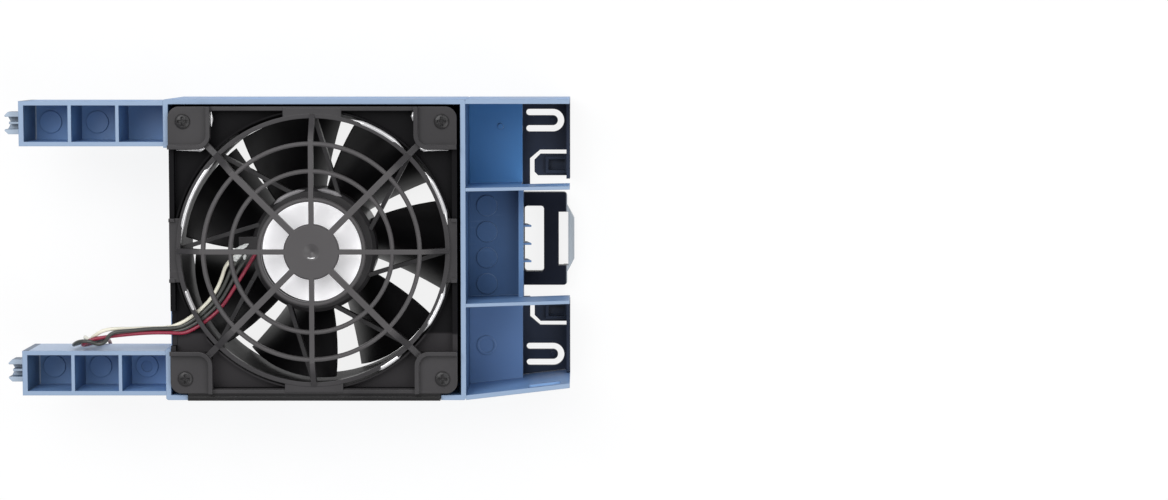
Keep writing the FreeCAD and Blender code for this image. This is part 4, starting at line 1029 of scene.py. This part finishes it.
@dataclass
class Guard:
    """Finger guard and its four push rivets."""

    rivet_at: float = 41.25 * MM
    head_radius: float = 2.4 * MM
    head_base: float = 41.5 * MM
    head_height: float = 0.9 * MM
    shank_radius: float = 1.95 * MM
    shank_length: float = 6.0 * MM
    cross_half: float = 0.36 * MM
    cross_reach: float = 1.5 * MM
    cross_depth: float = 0.7 * MM
    around: int = 64
    rings: int = 22
    # Painted highlights: pale glossy beads along arcs of the outer ring, in the dimple and at the
    # feet and sides of the upper pads.
    arcs: tuple[tuple[float, float, float], ...] = (
        (134.0, 178.0, 42.5), (48.0, 74.0, 43.6), (11.0, 35.0, 43.8), (-37.0, -14.0, 43.6),
        (-63.0, -49.0, 43.4), (-165.0, -151.0, 42.8))
    ring_level: float = 41.25 * MM
    ring_bead: float = 0.85 * MM
    dimple_span: tuple[float, float] = (225.0, 315.0)
    dimple_radius: float = 2.1 * MM
    dimple_level: float = 47.05 * MM
    dimple_bead: float = 0.32 * MM
    pad_edge: float = 32.1 * MM
    pad_end: float = 44.4 * MM
    pad_foot: tuple[float, float] = (43.4 * MM, 40.0 * MM)
    pad_starts: tuple[tuple[int, str, float], ...] = (
        (-1, "left", 39.6 * MM), (1, "right", 41.4 * MM))
    pad_round: float = 4.8 * MM
    pad_bead: float = 0.8 * MM
    pad_level: float = 41.0 * MM

    def head_top(self, x: float, y: float) -> float:
        """Height of the rivet's head over its seat.

        Args:
            x: Offset from the rivet's axis along X.
            y: Offset from the rivet's axis along Y.

        Returns:
            Height in metres: a low dome with a cross recess.
        """
        r = math.hypot(x, y) / self.head_radius
        dome = self.head_height * math.sqrt(max(0.0, 1 - 0.8 * r ** 3))
        near = min(abs(x), abs(y)) < self.cross_half and math.hypot(x, y) < self.cross_reach
        return dome - (self.cross_depth if near else 0.0)

    def rivet(self, work: bmesh.types.BMesh, cx: float, cy: float) -> None:
        """Add one rivet to a mesh.

        Args:
            work: Mesh that is being built.
            cx: Axis along X.
            cy: Axis along Y.
        """
        centre = work.verts.new((cx, cy, self.head_base + self.head_top(0.0, 0.0)))
        last: list[bmesh.types.BMVert] = []
        sizes = [self.head_radius * (i + 1) / self.rings for i in range(self.rings)]
        levels: list[float | None] = [None] * self.rings
        sizes += [self.head_radius, self.shank_radius, self.shank_radius]
        levels += [self.head_base, self.head_base, self.head_base - self.shank_length]
        for size, level in zip(sizes, levels):
            loop = []
            for k in range(self.around):
                angle = 2 * math.pi * (k + 0.5) / self.around
                x, y = size * math.cos(angle), size * math.sin(angle)
                z = self.head_base + self.head_top(x, y) if level is None else level
                loop.append(work.verts.new((cx + x, cy + y, z)))
            for k in range(self.around):
                n = (k + 1) % self.around
                if last:
                    work.faces.new((last[k], loop[k], loop[n], last[n]))
                else:
                    work.faces.new((centre, loop[k], loop[n]))
            last = loop
        work.faces.new(last)

    def rivets(self, work: bmesh.types.BMesh) -> None:
        """Fill a mesh with the rivets of the guard's corners.

        Args:
            work: Mesh that is being built.
        """
        for sx in (-1, 1):
            for sy in (-1, 1):
                self.rivet(work, FAN_X + sx * self.rivet_at, sy * self.rivet_at)

    def beads(self) -> None:
        """Make pale glossy beads, painted highlights, on the outer ring, in the dimple and at the
        upper pads.
        """
        painted_glint = Moulded("painted_glint_edge", (0.5, 0.49, 0.5), (0.54, 0.53, 0.54), roughness=0.3,
                        bump=0.0, coat=1.0).make()
        for number, (first, last, radius) in enumerate(self.arcs):
            add_arc(f"ring_glint_{number}", (first, last), radius * MM, self.ring_level,
                    self.ring_bead, painted_glint)
        add_arc("dimple_light", self.dimple_span, self.dimple_radius, self.dimple_level,
                self.dimple_bead, painted_glint)
        middle = self.pad_edge + self.pad_round
        for side, word, start in self.pad_starts:
            foot = [(FAN_X + side * x, self.pad_edge, self.pad_level) for x in self.pad_foot]
            for step in range(7):
                angle = math.radians(7.5 * step)
                foot.append((FAN_X + side * (middle - self.pad_round * math.sin(angle)),
                             middle - self.pad_round * math.cos(angle), self.pad_level))
            add_line(f"pad_foot_{word}", foot, self.pad_bead, painted_glint, Body.CARRIER)
            upright = [(FAN_X + side * self.pad_edge, start + (self.pad_end - start) * k / 8,
                        self.pad_level) for k in range(9)]
            add_line(f"pad_side_{word}", upright, self.pad_bead, painted_glint, Body.CARRIER)

    def build(self) -> None:
        """Dress the guard and make its painted highlight beads and its rivets."""
        plastic = RaisedPlastic("guard_black", (0.034, 0.032, 0.034), (0.09, 0.086, 0.09),
                                roughness=0.36, edge_radius=0.35 * MM).make()
        dress("finger_guard", plastic)
        self.beads()
        finish = Moulded("rivet_black", (0.02, 0.019, 0.02), (0.09, 0.088, 0.09),
                         roughness=0.3).make()
        rivets = add_mesh("push_rivets", self.rivets, finish, Body.CARRIER, smooth=False)
        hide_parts("guard_rivets")


@dataclass
class Studio:
    """Camera, floor, lights and white surroundings."""

    camera_at: Point = (0.0948, 0.0673, 0.890)
    camera_to: Point = (0.0948, 0.0001, 0.040)
    lens: float = 82.1
    floor_size: float = 6.0
    floor_level: float = -0.2 * MM
    ambient: float = 0.42
    sky: Colour = (0.96, 0.98, 1.0)
    aim: Point = (0.0, 0.0, 0.02)
    lamps: tuple[tuple[str, Point, float, float], ...] = (
        ("key_softbox", (-0.35, 0.45, 0.95), 0.8, 8.0),
        ("fill_softbox", (0.55, -0.4, 0.9), 0.8, 4.5),
        ("side_softbox", (0.5, 0.42, 0.8), 0.6, 2.0))

    def camera(self) -> None:
        """Place the camera over the module."""
        data = bpy.data.cameras.new("camera")
        data.lens = self.lens
        data.sensor_width = 36.0
        data.clip_start = 0.05
        camera = bpy.data.objects.new("camera", data)
        camera.location = self.camera_at
        gaze = Vector(self.camera_to) - Vector(self.camera_at)
        back = -gaze.normalized()
        up = Vector((0.0, 1.0, 0.0))
        right = up.cross(back).normalized()
        true_up = back.cross(right)
        camera.rotation_mode = "QUATERNION"
        rows = [[right[i], true_up[i], back[i]] for i in range(3)]
        camera.rotation_quaternion = Matrix(rows).to_quaternion()
        bpy.context.scene.collection.objects.link(camera)
        bpy.context.scene.camera = camera

    def lamp(self, name: str, at: Point, size: float, power: float) -> None:
        """Place a soft square lamp aimed at the module.

        Args:
            name: Name of the lamp.
            at: Where it hangs.
            size: Length of its side.
            power: Power in watts.
        """
        data = bpy.data.lights.new(name, "AREA")
        data.shape = "SQUARE"
        data.size = size
        data.energy = power
        lamp = bpy.data.objects.new(name, data)
        lamp.location = at
        away = Vector(at) - Vector(self.aim)
        lamp.rotation_euler = away.to_track_quat("Z", "Y").to_euler()
        bpy.context.scene.collection.objects.link(lamp)

    def floor(self) -> None:
        """Lay the floor under the module."""
        half = self.floor_size / 2
        mesh = bpy.data.meshes.new("floor")
        corners = [(-half, -half), (half, -half), (half, half), (-half, half)]
        mesh.from_pydata([(x, y, self.floor_level) for x, y in corners], [], [(0, 1, 2, 3)])
        mesh.materials.append(PaleFloor().make())
        floor = bpy.data.objects.new("floor", mesh)
        bpy.context.scene.collection.objects.link(floor)

    def surroundings(self) -> None:
        """White world: plain to the camera, soft as a light."""
        world = bpy.data.worlds.new("surroundings")
        world.use_nodes = True
        bpy.context.scene.world = world
        graph = Graph(world.node_tree)
        soft = world.node_tree.nodes["Background"]
        soft.inputs["Strength"].default_value = self.ambient
        soft.inputs["Color"].default_value = rgba(self.sky)
        seen = graph.add("ShaderNodeBackground", in_Color=rgba((1.0, 1.0, 1.0)))
        seen.inputs["Strength"].default_value = 1.0
        path = graph.add("ShaderNodeLightPath")
        direct = graph.math("MAXIMUM", path.outputs["Is Camera Ray"],
                            path.outputs["Is Transmission Ray"])
        mix = graph.add("ShaderNodeMixShader", in_0=direct)
        graph.feed(mix, "1", soft.outputs[0])
        graph.feed(mix, "2", seen.outputs[0])
        graph.feed(world.node_tree.nodes["World Output"], "Surface", mix.outputs[0])

    def build(self) -> None:
        """Set the whole studio up."""
        self.camera()
        self.floor()
        self.surroundings()
        for name, at, size, power in self.lamps:
            self.lamp(name, at, size, power)


def main() -> None:
    """Build the scene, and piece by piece."""
    logging.basicConfig(level=logging.INFO, format="%(name)s: %(message)s")
    bpy.context.scene.view_settings.view_transform = "Standard"
    for part in (Studio(), Lead(), Bracket(), Latch(), Fan(), Guard()):
        part.build()
        log.info("built %s", type(part).__name__)


if __name__ == "__main__":
    main()
